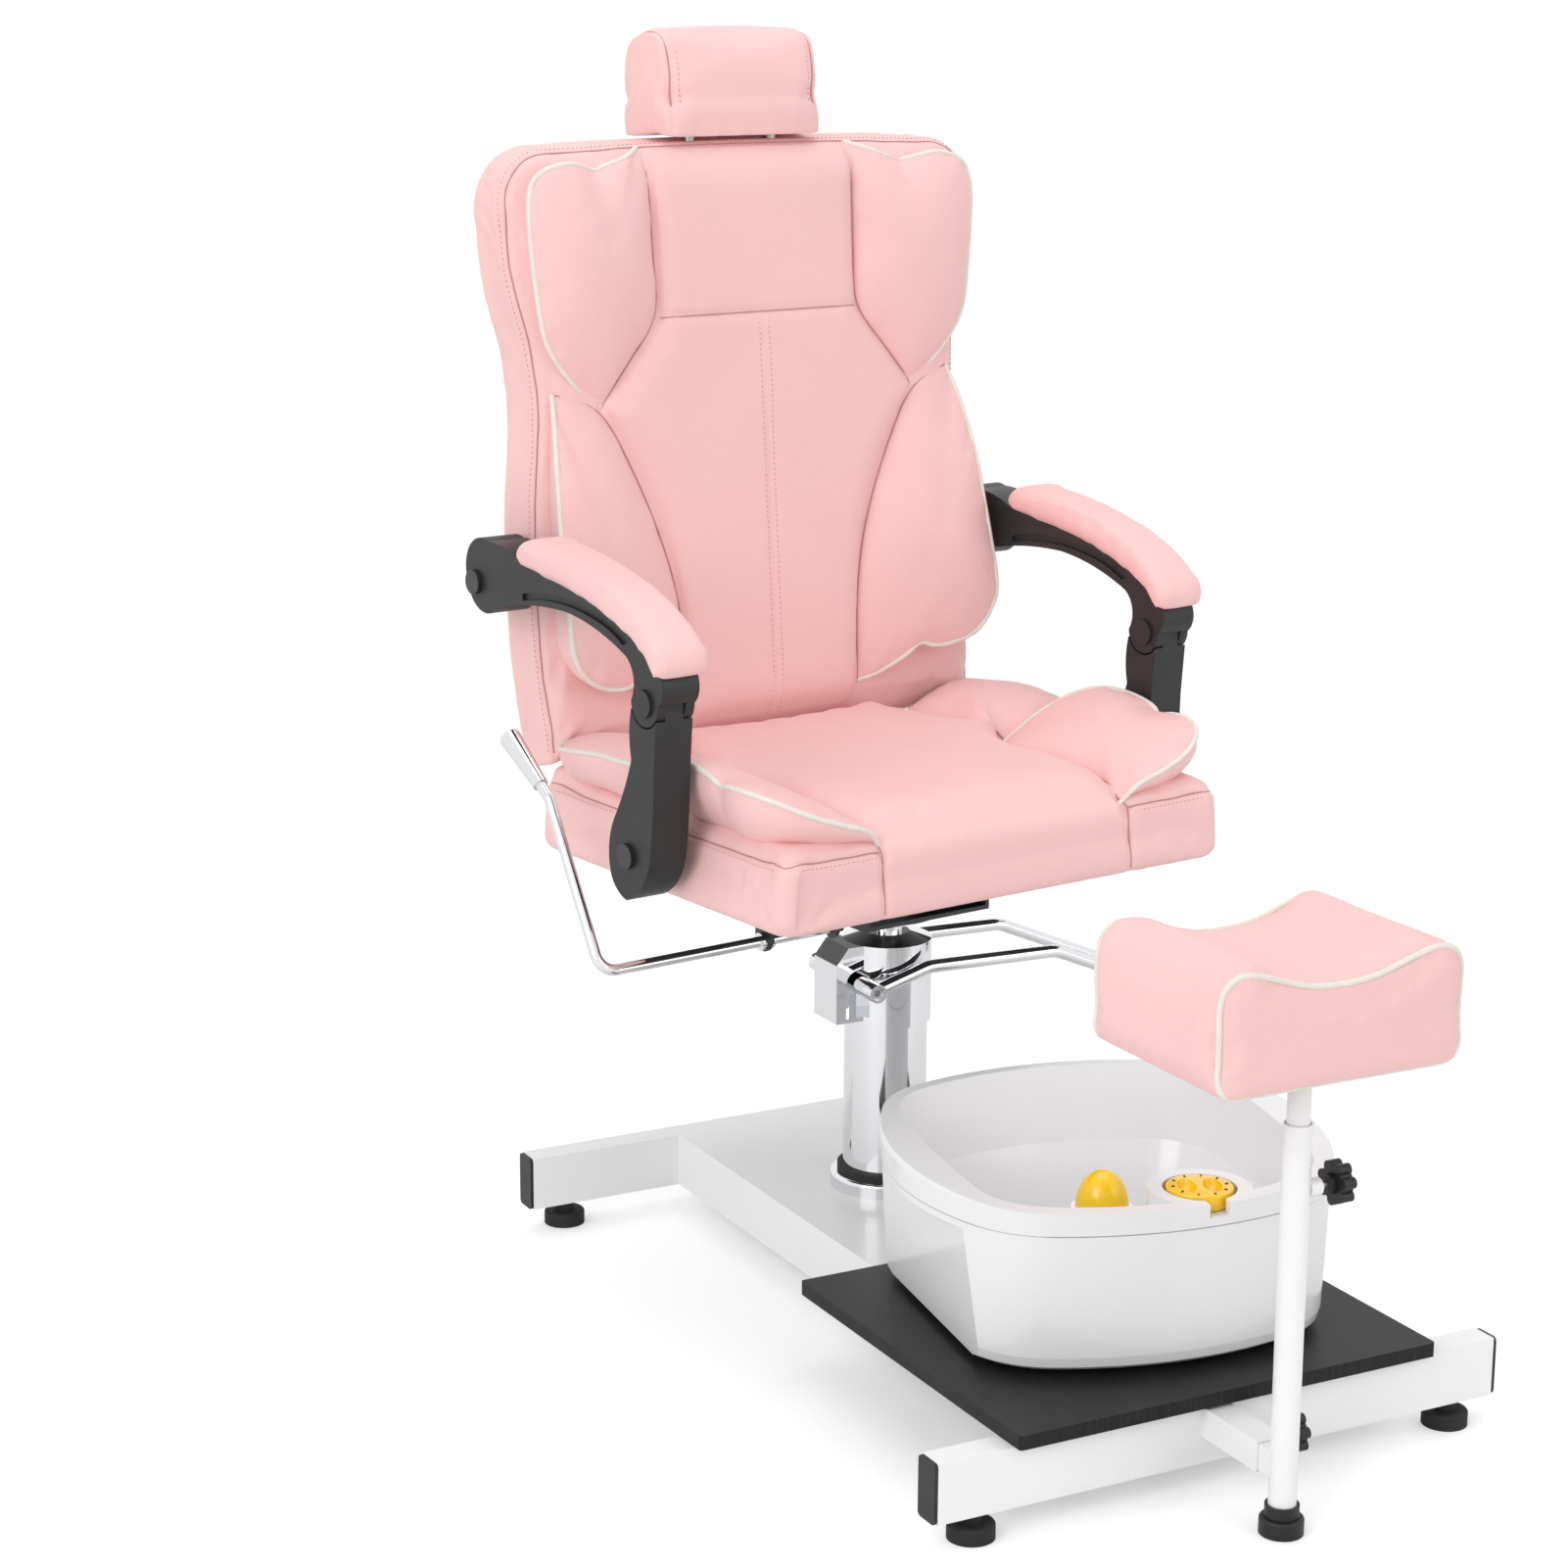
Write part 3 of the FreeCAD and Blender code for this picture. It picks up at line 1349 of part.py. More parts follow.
def basin_tub():
    outline = basin_outline()
    rim_shares = [(0.0, 0.992), (0.6, 1.0), (1.0, 0.99)]
    rim = lofted(outline, seam_level, basin_top - seam_level, rim_shares, flat_space)
    depth = basin_top - floor_top
    grow = basin_wall / basin_half_depth
    outer_shares = [(level, share + grow) for level, share in tub_level_shares]
    bowl = lofted(cavity_points(), floor_top - basin_wall, depth, outer_shares, flat_space)
    inner_rim = [(level, share - 2 * grow) for level, share in rim_shares]
    under = lofted(outline, seam_level - basin_wall, basin_top - seam_level - basin_rim_fall
                   - basin_wall, inner_rim, flat_space)
    cavity = lofted(cavity_points(), floor_top, depth + basin_wall, tub_level_shares, flat_space)
    x, y = dial_offset_x, -dial_offset_y
    console = disc(console_radius, console_top - console_drop, console_top, x, y)
    console = console.common(lofted(outline, basin_level, basin_height,
                                    [(0.0, 0.9), (1.0, 0.97)], flat_space))
    ridge = Part.makeCone(ridge_radius, dome_radius * 1.15, ridge_height,
                          Vector(0, 0, floor_top - basin_wall))
    socket = disc(dome_peg_radius + slide_clearance, floor_top + ridge_height - basin_wall - dome_peg_length
                  - slide_clearance, floor_top + ridge_height)
    body = rim.cut(under).fuse(bowl).cut(cavity).fuse([console, ridge]).cut(socket)
    well_floor = console_top - dial_well_depth
    well = disc(dial_radius + basin_wall, well_floor, basin_top + cut_overrun, x, y)
    notch = block(x - dial_notch_width / 2, x + dial_notch_width / 2,
                  -basin_half_depth - cut_overrun, y, well_floor, basin_top + cut_overrun)
    shaft = disc(dial_shaft_radius + running_clearance, well_floor - dial_height, basin_top, x, y)
    return basin(body.cut(above_rim()).cut(well).cut(notch).cut(shaft))


def basin_feet():
    feet = []
    for x_share, y_share in ((0.7, 0.45), (-0.7, 0.45), (0.7, -0.45), (-0.7, -0.45)):
        feet.append(disc(basin_foot_radius, board_top, basin_level,
                         basin_half_width * x_share, basin_half_depth * y_share))
    return basin(Part.makeCompound(feet))


def basin_dial():
    low = console_top - dial_well_depth + slide_clearance
    x, y = dial_offset_x, -dial_offset_y
    knob = disc(dial_radius, low, low + dial_height, x, y)
    knob = knob.makeFillet(dial_height / 6, edges_at_level(knob, low + dial_height))
    grip = block(x - dial_grip_width / 2, x + dial_grip_width / 2, y - dial_radius * 0.8,
                 y + dial_radius * 0.8, low + dial_height, low + dial_height + dial_grip_height)
    shaft = disc(dial_shaft_radius, low - dial_height / 2, low, x, y)
    return basin(knob.fuse([grip, shaft]))


def massage_dome():
    base = floor_top + ridge_height - basin_wall
    share = dome_height / dome_radius
    egg = Part.makeSphere(dome_radius, Vector(0, 0, 0), Vector(0, 0, 1), 0, 90)
    matrix = FreeCAD.Matrix()
    matrix.scale(1, 1, share)
    egg = egg.transformGeometry(matrix)
    egg.translate(Vector(0, 0, base))
    return basin(egg.fuse(disc(dome_peg_radius, base - dome_peg_length, base)))


def build():
    rear = frame_depth - bar_depth
    shapes = {
        "front_crossbar": stub_opening(crossbar(0, ("front_right_foot", "front_left_foot"))),
        "rear_crossbar": crossbar(rear, ("rear_right_foot", "rear_left_foot")),
        "base_beam": drilled_beam(),
        "crossbar_end_caps": end_caps(),
        "basin_board": basin_board(),
        "frame_screws": frame_screws(),
        "pump_base_flange": pump_flange(),
        "pump_seal_ring": pump_seal(),
        "pump_sleeve": pump_sleeve(),
        "pump_barrel": pump_barrel(),
        "pump_head": pump_head(),
        "foot_pedal": foot_pedal(),
        "pedal_shaft": pedal_shaft(),
        "pump_piston": pump_piston(),
        "seat_turntable": turntable(),
        "footrest_stub": footrest_stub(),
        "footrest_slide_tube": slide_tube(),
        "footrest_post": footrest_post(),
        "post_foot": post_foot(),
        "footrest_stem": footrest_stem(),
        "footrest_plate": footrest_plate(),
        "footrest_pad": footrest_pad(),
        "seat_bracket": seat_bracket(),
        "seat_board": seat_board(),
        "seat_cushion": seat_cushion(),
        "seat_front_bolsters": seat_bolsters(front_bolster_shares),
        "seat_rear_bolsters": seat_bolsters(rear_bolster_shares),
        "back_hinge_pins": hinge_pins(),
        "strut_bolts": strut_bolts(),
        "recline_lever": recline_lever(),
        "lever_grip": lever_grip(),
        "back_hinge_straps": hinge_straps(),
        "back_board": back_board(),
        "back_cushion": back_cushion(),
        "back_upper_bolsters": back_bolsters(upper_bolster_shares),
        "back_lower_bolsters": back_bolsters(lower_bolster_shares),
        "arm_bolts": arm_bolts(),
        "headrest_pad": headrest_pad(),
        "headrest_posts": headrest_posts(),
        "left_arm": chair(left_arm()),
        "left_arm_pad": chair(left_arm_pad()),
        "left_strut": chair(left_strut()),
        "right_arm": chair(mirror_x(left_arm())),
        "right_arm_pad": chair(mirror_x(left_arm_pad())),
        "right_strut": chair(mirror_x(left_strut())),
        "basin_casing": basin_casing(),
        "basin_tub": basin_tub(),
        "basin_feet": basin_feet(),
        "basin_dial": basin_dial(),
        "massage_dome": massage_dome(),
    }
    for name, (x, y) in foot_places().items():
        shapes[name] = levelling_foot(x, y)
    reach_face, height_face = reach_knob_face(), height_knob_face()
    reach_tip = post_offset + slide_size / 2
    height_tip = post_offset + stem_radius
    shapes["reach_knob"] = star_knob(reach_face, -reach_knob_setback, stub_axis_level)
    shapes["reach_knob_screw"] = knob_screw(reach_tip + slide_clearance, reach_face,
                                            -reach_knob_setback, stub_axis_level)
    shapes["height_knob"] = star_knob(height_face, -post_reach, height_knob_level)
    shapes["height_knob_screw"] = knob_screw(height_tip + slide_clearance, height_face,
                                             -post_reach, height_knob_level)
    return shapes


def overall_box(shapes):
    box = FreeCAD.BoundBox()
    for shape in shapes.values():
        box.add(shape.optimalBoundingBox(False, False))
    return box


shapes = build()
whole = overall_box(shapes)
origin = Vector(whole.Center.x, whole.Center.y, whole.ZMin)

os.makedirs("parts", exist_ok=True)
for name, shape in shapes.items():
    placed = shape.copy()
    placed.translate(-origin)
    placed.exportStep("parts/" + name + ".step")
    print(name, placed.ShapeType, len(placed.Solids), placed.isValid(), round(placed.Volume))
print("origin", origin, "box", whole)
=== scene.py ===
"""Upholstery, finishes and fine details of a pedicure chair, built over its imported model."""

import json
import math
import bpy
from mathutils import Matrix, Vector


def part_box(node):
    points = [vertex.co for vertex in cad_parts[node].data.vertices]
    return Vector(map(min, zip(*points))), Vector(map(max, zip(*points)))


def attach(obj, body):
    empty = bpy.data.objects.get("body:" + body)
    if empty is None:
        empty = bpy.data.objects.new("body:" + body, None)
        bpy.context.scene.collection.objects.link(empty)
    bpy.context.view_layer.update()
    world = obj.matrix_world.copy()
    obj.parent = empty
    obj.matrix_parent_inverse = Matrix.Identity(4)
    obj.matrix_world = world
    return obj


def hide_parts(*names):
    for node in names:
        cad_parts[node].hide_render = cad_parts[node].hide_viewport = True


bl_info = {
    "name": "Pedicure chair finish",
    "version": (1, 0, 0),
    "blender": (4, 5, 0),
    "location": "View3D > Sidebar > Pedicure chair",
    "description": "Upholstery, finishes and fine details of a pedicure chair unit",
    "category": "Object",
}

import bpy
import numpy as np
from mathutils import Matrix, Vector
from mathutils.bvhtree import BVHTree

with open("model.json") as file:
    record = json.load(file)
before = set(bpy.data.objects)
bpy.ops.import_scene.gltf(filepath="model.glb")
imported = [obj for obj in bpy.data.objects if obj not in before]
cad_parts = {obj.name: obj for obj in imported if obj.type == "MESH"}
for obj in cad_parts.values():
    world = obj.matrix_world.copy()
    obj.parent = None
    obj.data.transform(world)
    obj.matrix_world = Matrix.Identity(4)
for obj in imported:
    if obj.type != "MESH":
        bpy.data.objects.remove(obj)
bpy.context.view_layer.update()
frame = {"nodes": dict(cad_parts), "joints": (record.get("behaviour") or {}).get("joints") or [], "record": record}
NODES = frame["nodes"]
JOINTS = {joint["name"]: joint for joint in frame["joints"]}

# Places and directions that follow from the frame: its front middle, the pump, the chair
BAR_LOW, BAR_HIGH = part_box("front_crossbar")
FRAME_FRONT = Vector(((BAR_LOW.x + BAR_HIGH.x) / 2, BAR_LOW.y, 0))
SLEEVE_LOW, SLEEVE_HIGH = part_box("pump_sleeve")
PUMP = Vector(((SLEEVE_LOW.x + SLEEVE_HIGH.x) / 2, (SLEEVE_LOW.y + SLEEVE_HIGH.y) / 2, 0))
ABOVE = Vector((0, 0, 1))
ACROSS = -Vector(JOINTS["back_recline"]["axis"])
REARWARD = ABOVE.cross(ACROSS)
UP_BACK = Vector(JOINTS["headrest_height"]["axis"])
THROUGH_BACK = UP_BACK.cross(ACROSS)

# The scene's own level directions
ALONG_X, ALONG_Y = Vector((1, 0, 0)), Vector((0, 1, 0))

# Upholstery sizes in metres, in the chair's own directions
SEAT_HALF_WIDTH = 0.245
SEAT_FRONT = -0.178
SEAT_REAR = 0.203
SEAT_BOTTOM = 0.385
SEAT_EDGE = 0.452
BACK_FOOT_SETBACK = 0.180
BACK_FOOT_HEIGHT = 0.468
BACK_HEIGHT = 0.550
BACK_THICKNESS = 0.050
HEADREST_HALF_WIDTH = 0.086
HEADREST_MIDDLE = 0.038

# The gap that a copy of a solid has merged, and the cells of each pad's even mesh
MERGE_DISTANCE = 0.00005
CUSHION_CELL = 0.005
HEADREST_CELL = 0.004
FOOTREST_CELL = 0.0045
ARM_PAD_CELL = 0.0035

# Steps along lines, and how many places or rays a seam takes
SEAM_STEP = 0.0025
FINE_STEP = 0.001
KNOT_STEPS = 24
PRESSED_AT_ONCE = 40
FOOTREST_RAYS = 160
JOINT_RAYS = 240

# How deep a pad's held side is, and the width over which a change of shape fades out
HELD_RIM = 0.004
BLEND = 0.03

# The filling's frames and pressures, and the rounds of smoothing before it
FILLING_FRAMES = 20
CUSHION_PRESSURE = 4.0
BOLSTER_PRESSURE = 2.0
SEAT_ROUNDS = 2
BACK_ROUNDS = 3
HEADREST_ROUNDS = 4
FOOTREST_ROUNDS = 3
ARM_PAD_ROUNDS = 16

# How far the filling may push out the pads that are firmer than the cushions
HEADREST_FULLNESS = 0.004
FOOTREST_FULLNESS = 0.003
ARM_PAD_FULLNESS = 0.0025


def chair_point(across, rearward, height):
    """A place given in the chair's own directions from the pump's axis at floor level."""
    return PUMP + ACROSS * across + REARWARD * rearward + ABOVE * height


def back_point(across, through, up):
    """A place on the leaning back: through it towards the rear, and up along it."""
    foot = chair_point(0, BACK_FOOT_SETBACK, BACK_FOOT_HEIGHT)
    return foot + ACROSS * across + THROUGH_BACK * through + UP_BACK * up


def in_chair(points):
    """World points as columns of the chair's own across, rearward and height."""
    away = points - np.array(PUMP)
    return np.stack([away @ np.array(ACROSS), away @ np.array(REARWARD), away[:, 2]], 1)


def in_back(points):
    """World points as columns of across, through and up, from the foot of the back."""
    away = points - np.array(chair_point(0, BACK_FOOT_SETBACK, BACK_FOOT_HEIGHT))
    axes = (ACROSS, THROUGH_BACK, UP_BACK)
    return np.stack([away @ np.array(axis) for axis in axes], 1)


def add_node(tree, kind, settings, values):
    """A node of one kind, with its settings and the values or links of its sockets."""
    made = tree.nodes.new(kind)
    for name, value in settings.items():
        setattr(made, name, value)
    for name, value in values.items():
        if isinstance(value, bpy.types.NodeSocket):
            tree.links.new(value, made.inputs[name])
        else:
            made.inputs[name].default_value = value
    return made


class Shade:
    """One value of a material's node tree, worked on with Python's own signs."""

    def __init__(self, finish, socket):
        self.finish, self.socket = finish, socket

    def maths(self, operation, first, second):
        settings = {"operation": operation}
        return self.finish.node("ShaderNodeMath", settings, {0: first, 1: second})

    def __add__(self, other):
        return self.maths("ADD", self, other)

    def __sub__(self, other):
        return self.maths("SUBTRACT", self, other)

    def __rsub__(self, other):
        return self.maths("SUBTRACT", other, self)

    def __mul__(self, other):
        return self.maths("MULTIPLY", self, other)

    def __pow__(self, other):
        return self.maths("POWER", self, other)

    __radd__ = __add__
    __rmul__ = __mul__


# The numbers of a colour mix node's sockets, which share their names with others
MIX_FIRST, MIX_SECOND, MIX_RESULT = 6, 7, 2


class Finish:
    """A procedural material, and the method that adds any node to it."""

    def __init__(self, name, colour, roughness, metallic=0.0, coat=0.0):
        self.material = bpy.data.materials.new(name)
        self.material.use_nodes = True
        self.tree = self.material.node_tree
        self.shader = self.tree.nodes["Principled BSDF"]
        self.shader.inputs["Base Color"].default_value = (*colour, 1)
        self.shader.inputs["Roughness"].default_value = roughness
        self.shader.inputs["Metallic"].default_value = metallic
        self.shader.inputs["Coat Weight"].default_value = coat
        self.place = self.node("ShaderNodeTexCoord", {}, {}, "Object")

    def node(self, kind, settings, values, output=0):
        values = {name: value.socket if isinstance(value, Shade) else value
                  for name, value in values.items()}
        return Shade(self, add_node(self.tree, kind, settings, values).outputs[output])

    def noise(self, scale, detail=2.0, roughness=0.5, place=None):
        values = {"Vector": place or self.place, "Scale": scale, "Detail": detail,
                  "Roughness": roughness}
        return self.node("ShaderNodeTexNoise", {}, values)

    def cells(self, scale, feature="F1"):
        return self.node("ShaderNodeTexVoronoi", {"feature": feature},
                         {"Vector": self.place, "Scale": scale})

    def stretched(self, scale):
        return self.node("ShaderNodeMapping", {}, {"Vector": self.place, "Scale": scale})

    def ramp(self, value, low, high):
        """value from low to high, drawn out to run from 0 to 1."""
        return self.node("ShaderNodeMapRange", {"interpolation_type": "SMOOTHSTEP"},
                         {"Value": value, "From Min": low, "From Max": high})

    def mixed(self, factor, first, second):
        """A colour that goes from first to second as factor goes from 0 to 1."""
        values = {"Factor": factor, MIX_FIRST: (*first, 1), MIX_SECOND: (*second, 1)}
        return self.node("ShaderNodeMix", {"data_type": "RGBA"}, values, MIX_RESULT)

    def feed(self, name, value):
        self.tree.links.new(value.socket, self.shader.inputs[name])

    def bump(self, height, strength, distance):
        normal = self.node("ShaderNodeBump", {}, {"Height": height, "Strength": strength,
                                                  "Distance": distance}, "Normal")
        self.feed("Normal", normal)


def darker(colour, share):
    """The colour with each channel at a share of itself."""
    return tuple(channel * share for channel in colour)


# Colours that stay as they are, and the painted glow that stands in for the light of the lamp in the basin's floor
NO_LIGHT = (0, 0, 0)
JOINT_GREY = (0.42, 0.42, 0.43)
MARK_BLACK = (0.03, 0.025, 0.02)
STEEL_BLACK = (0.02, 0.02, 0.021)
CHROME_TINT = (0.83, 0.84, 0.86)
STEEL_TINT = (0.62, 0.63, 0.65)
PLASTIC_BLACK = (0.014, 0.014, 0.015)
RUBBER_BLACK = (0.016, 0.016, 0.016)
CLOTH_BLACK = (0.02, 0.02, 0.02)
PAINTED_GLOW_BLUE = (0.3, 0.35, 1.0)
PAINTED_GLOW_REACH = (0.015, 0.1)
PAINTED_GLOW_STRENGTH = 0.55


# One function for each finish
def soft_leather(colour):
    """Leather with fine pebbles, soft creases and faint clouds of colour."""
    finish = Finish("pink_leather", colour, 0.5)
    finish.shader.inputs["Specular IOR Level"].default_value = 0.35
    clouds = finish.noise(7.0, 2.0)
    finish.feed("Base Color", finish.mixed(finish.ramp(clouds, 0.3, 0.75), colour,
                                           darker(colour, 0.96)))
    pebbles = finish.cells(900.0, "DISTANCE_TO_EDGE")
    creases = finish.noise(38.0, 4.0, 0.6)
    finish.feed("Roughness", 0.44 + finish.noise(60.0) * 0.14)
    finish.bump(finish.ramp(pebbles, 0.0, 0.4) * 0.35 + creases * 0.9, 0.35, 0.0009)
    return finish.material


def piping_cord(colour):
    """The woven cover of the piping."""
    finish = Finish("cream_piping", colour, 0.55)
    weave = finish.cells(1500.0)
    finish.feed("Base Color", finish.mixed(finish.noise(90.0), colour, darker(colour, 0.86)))
    finish.bump(weave, 0.3, 0.0004)
    return finish.material


def sewing_thread(colour):
    """Twisted thread."""
    finish = Finish("thread", colour, 0.65)
    finish.feed("Base Color", finish.mixed(finish.noise(1200.0), colour, darker(colour, 0.8)))
    finish.bump(finish.noise(2600.0), 0.4, 0.0002)
    return finish.material


def seam_shadow(name, colour):
    """A dull colour for the painted shade in the seams' creases, the joint line and the marks."""
    finish = Finish(name, colour, 0.8)
    finish.feed("Base Color", finish.mixed(finish.noise(220.0), colour, darker(colour, 0.8)))
    finish.bump(finish.noise(1800.0), 0.2, 0.0002)
    return finish.material


def powder_coat(name, colour, roughness):
    """Sprayed powder coat with a slight orange peel."""
    finish = Finish(name, colour, roughness, coat=0.15)
    peel = finish.noise(700.0, 2.0)
    finish.feed("Base Color", finish.mixed(finish.noise(9.0), colour, darker(colour, 0.95)))
    finish.feed("Roughness", roughness - 0.05 + finish.noise(120.0) * 0.1)
    finish.bump(peel, 0.12, 0.0004)
    return finish.material


def polished_chrome(colour):
    """Chrome with faint smears."""
    finish = Finish("chrome", colour, 0.07, metallic=1.0)
    smears = finish.noise(26.0, 4.0)
    finish.feed("Roughness", 0.045 + finish.ramp(smears, 0.45, 0.8) * 0.07)
    finish.feed("Base Color", finish.mixed(finish.noise(6.0), colour, darker(colour, 0.93)))
    return finish.material


def plated_steel(colour):
    """Plated steel whose brush lines lie level."""
    finish = Finish("plated_steel", colour, 0.3, metallic=1.0)
    brushed = finish.noise(180.0, 3.0, place=finish.stretched((1, 1, 14)))
    finish.feed("Roughness", 0.24 + brushed * 0.16)
    finish.feed("Base Color", finish.mixed(brushed, colour, darker(colour, 0.8)))
    finish.bump(brushed, 0.1, 0.0002)
    return finish.material


def moulded_plastic(name, colour, roughness, grain=1400.0):
    """Grained plastic or rubber, a little worn."""
    finish = Finish(name, colour, roughness)
    finish.shader.inputs["Specular IOR Level"].default_value = 0.4
    texture = finish.noise(grain, 2.0)
    worn = finish.noise(30.0, 3.0)
    finish.feed("Base Color", finish.mixed(worn, darker(colour, 0.85), darker(colour, 1.15)))
    finish.feed("Roughness", roughness - 0.06 + finish.noise(70.0, 3.0) * 0.12)
    finish.bump(texture, 0.25, 0.0003)
    return finish.material


def gloss_plastic(name, colour, roughness=0.22):
    """Smooth glossy plastic."""
    finish = Finish(name, colour, roughness, coat=0.25)
    finish.feed("Base Color", finish.mixed(finish.noise(5.0), colour, darker(colour, 0.96)))
    finish.feed("Roughness", roughness - 0.04 + finish.noise(50.0, 3.0) * 0.08)
    finish.bump(finish.noise(28.0, 2.0), 0.05, 0.0008)
    return finish.material


def board_laminate(colour):
    """Dark board with streaks along its depth."""
    finish = Finish("board_laminate", colour, 0.36)
    finish.shader.inputs["Specular IOR Level"].default_value = 0.15
    streaks = finish.noise(26.0, 5.0, 0.65, finish.stretched((22, 1, 1)))
    specks = finish.noise(900.0, 2.0)
    finish.feed("Base Color", finish.mixed(finish.ramp(streaks, 0.3, 0.8), colour,
                                           tuple(channel + 0.016 for channel in colour)))
    finish.feed("Roughness", 0.3 + streaks * 0.18)
    finish.bump(streaks * 0.6 + specks * 0.4, 0.22, 0.0004)
    return finish.material


def backing_cloth(colour):
    """Thin black cloth with pressed dots."""
    finish = Finish("backing_cloth", colour, 0.9)
    dots = finish.cells(480.0)
    finish.feed("Base Color", finish.mixed(dots, darker(colour, 0.7), darker(colour, 1.5)))
    finish.bump(dots, 0.5, 0.0005)
    return finish.material


def basin_with_painted_glow(colour, painted_glow, lamp):
    """White moulded plastic that shines faint blue round the massage dome: a painted glow in place of the light of
    the lamp in the tub's floor.
    """
    finish = Finish("basin_white", colour, 0.2, coat=0.3)
    finish.feed("Base Color", finish.mixed(finish.noise(4.0), colour, darker(colour, 0.97)))
    finish.feed("Roughness", 0.16 + finish.noise(40.0, 3.0) * 0.1)
    # Painted glow: the plastic itself gives off blue light near the dome, in place of the lamp's light falling on
    # it
    away = finish.node("ShaderNodeVectorMath", {"operation": "DISTANCE"},
                       {0: finish.place, 1: lamp}, "Value")
    near = 1 - finish.ramp(away, *PAINTED_GLOW_REACH)
    finish.feed("Emission Color", finish.mixed(near ** 2, NO_LIGHT, painted_glow))
    finish.shader.inputs["Emission Strength"].default_value = PAINTED_GLOW_STRENGTH
    finish.bump(finish.noise(24.0, 2.0), 0.05, 0.0008)
    return finish.material


# Settings that a user would change
class ChairColours(bpy.types.PropertyGroup):
    """Colours of the chair's finishes."""

    leather: bpy.props.FloatVectorProperty(
        name="Leather", description="Colour of the soft upholstery", subtype="COLOR",
        default=(0.945, 0.6, 0.58), min=0, max=1)
    piping: bpy.props.FloatVectorProperty(
        name="Piping", description="Colour of the piping round the bolsters", subtype="COLOR",
        default=(0.90, 0.85, 0.77), min=0, max=1)
    thread: bpy.props.FloatVectorProperty(
        name="Thread", description="Colour of the sewing thread", subtype="COLOR",
        default=(0.74, 0.40, 0.39), min=0, max=1)
    # Dark pink of the tubes laid in the seams: painted shade in their creases
    seam_shade: bpy.props.FloatVectorProperty(
        name="Seam folds", description="Colour deep in the seams", subtype="COLOR",
        default=(0.6, 0.29, 0.28), min=0, max=1)
    frame: bpy.props.FloatVectorProperty(
        name="Frame", description="Colour of the powder coated tubes", subtype="COLOR",
        default=(0.93, 0.93, 0.93), min=0, max=1)
    arms: bpy.props.FloatVectorProperty(
        name="Arms", description="Colour of the moulded arms and struts", subtype="COLOR",
        default=(0.022, 0.023, 0.024), min=0, max=1)
    basin: bpy.props.FloatVectorProperty(
        name="Basin", description="Colour of the foot basin", subtype="COLOR",
        default=(0.86, 0.86, 0.865), min=0, max=1)
    accent: bpy.props.FloatVectorProperty(
        name="Dial and dome", description="Colour of the dial and the massage dome",
        subtype="COLOR", default=(1.0, 0.62, 0.003), min=0, max=1)


class ChairSewing(bpy.types.PropertyGroup):
    """Sizes of the sewn details."""

    fullness: bpy.props.FloatProperty(
        name="Fullness", description="How far the filling may push a cushion out",
        default=0.006, min=0.001, max=0.03, unit="LENGTH")
    seam_depth: bpy.props.FloatProperty(
        name="Seam depth", description="How deep a seam is drawn in", default=0.0022,
        min=0, max=0.01, unit="LENGTH")
    seam_width: bpy.props.FloatProperty(
        name="Seam width", description="Half width of a drawn-in seam", default=0.0045,
        min=0.001, max=0.02, unit="LENGTH")
    # How thick the tubes of painted seam shade are
    seam_shade_radius: bpy.props.FloatProperty(
        name="Fold radius", description="Radius of the dark fold in a seam", default=0.0006,
        min=0.0002, max=0.002, unit="LENGTH")
    piping_radius: bpy.props.FloatProperty(
        name="Piping radius", description="Radius of the piping", default=0.0024,
        min=0.001, max=0.006, unit="LENGTH")
    stitch_length: bpy.props.FloatProperty(
        name="Stitch length", description="Length of one stitch", default=0.0030,
        min=0.001, max=0.01, unit="LENGTH")
    stitch_gap: bpy.props.FloatProperty(
        name="Stitch gap", description="Gap between two stitches", default=0.0018,
        min=0.0005, max=0.01, unit="LENGTH")


class ChairStage(bpy.types.PropertyGroup):
    """The camera's lens and aim."""

    lens: bpy.props.FloatProperty(
        name="Lens", description="Focal length of the camera", default=77.78, min=20,
        max=200, unit="CAMERA")
    turn: bpy.props.FloatProperty(
        name="Turn", description="How far the camera looks to the right of straight ahead",
        default=math.radians(28.0), subtype="ANGLE", unit="ROTATION")
    tilt: bpy.props.FloatProperty(
        name="Tilt", description="How far the camera looks down",
        default=math.radians(13.583), subtype="ANGLE", unit="ROTATION")
    roll: bpy.props.FloatProperty(
        name="Roll", description="How far the camera leans over",
        default=math.radians(0.304), subtype="ANGLE", unit="ROTATION")


# Places and lines
def smooth_run(points, step):
    """Places at even steps along a smooth line through the given points."""
    knots = [np.array(point, float) for point in points]
    knots = [2 * knots[0] - knots[1], *knots, 2 * knots[-1] - knots[-2]]
    fine = []
    for before, start, end, after in zip(knots, knots[1:], knots[2:], knots[3:]):
        for share in np.linspace(0, 1, KNOT_STEPS, endpoint=False):
            fine.append(0.5 * (2 * start + (end - before) * share
                               + (2 * before - 5 * start + 4 * end - after) * share ** 2
                               + (3 * start - before - 3 * end + after) * share ** 3))
    fine = np.array([*fine, knots[-2]])
    gone = np.concatenate([[0], np.cumsum(np.linalg.norm(np.diff(fine, axis=0), axis=1))])
    marks = np.linspace(0, gone[-1], max(3, round(gone[-1] / step) + 1))
    return np.stack([np.interp(marks, gone, fine[:, k]) for k in range(3)], 1)


def seam_line(to_world, points):
    """A smooth line through places of a cushion, as places in the world."""
    return np.array([to_world(*place) for place in smooth_run(points, SEAM_STEP)])


def evened(line, rounds=12):
    """A line with its small wobbles taken out. Its ends stay."""
    line = np.array(line, float)
    for _ in range(rounds):
        line[1:-1] = (line[:-2] + line[2:]) * 0.25 + line[1:-1] * 0.5
    return line


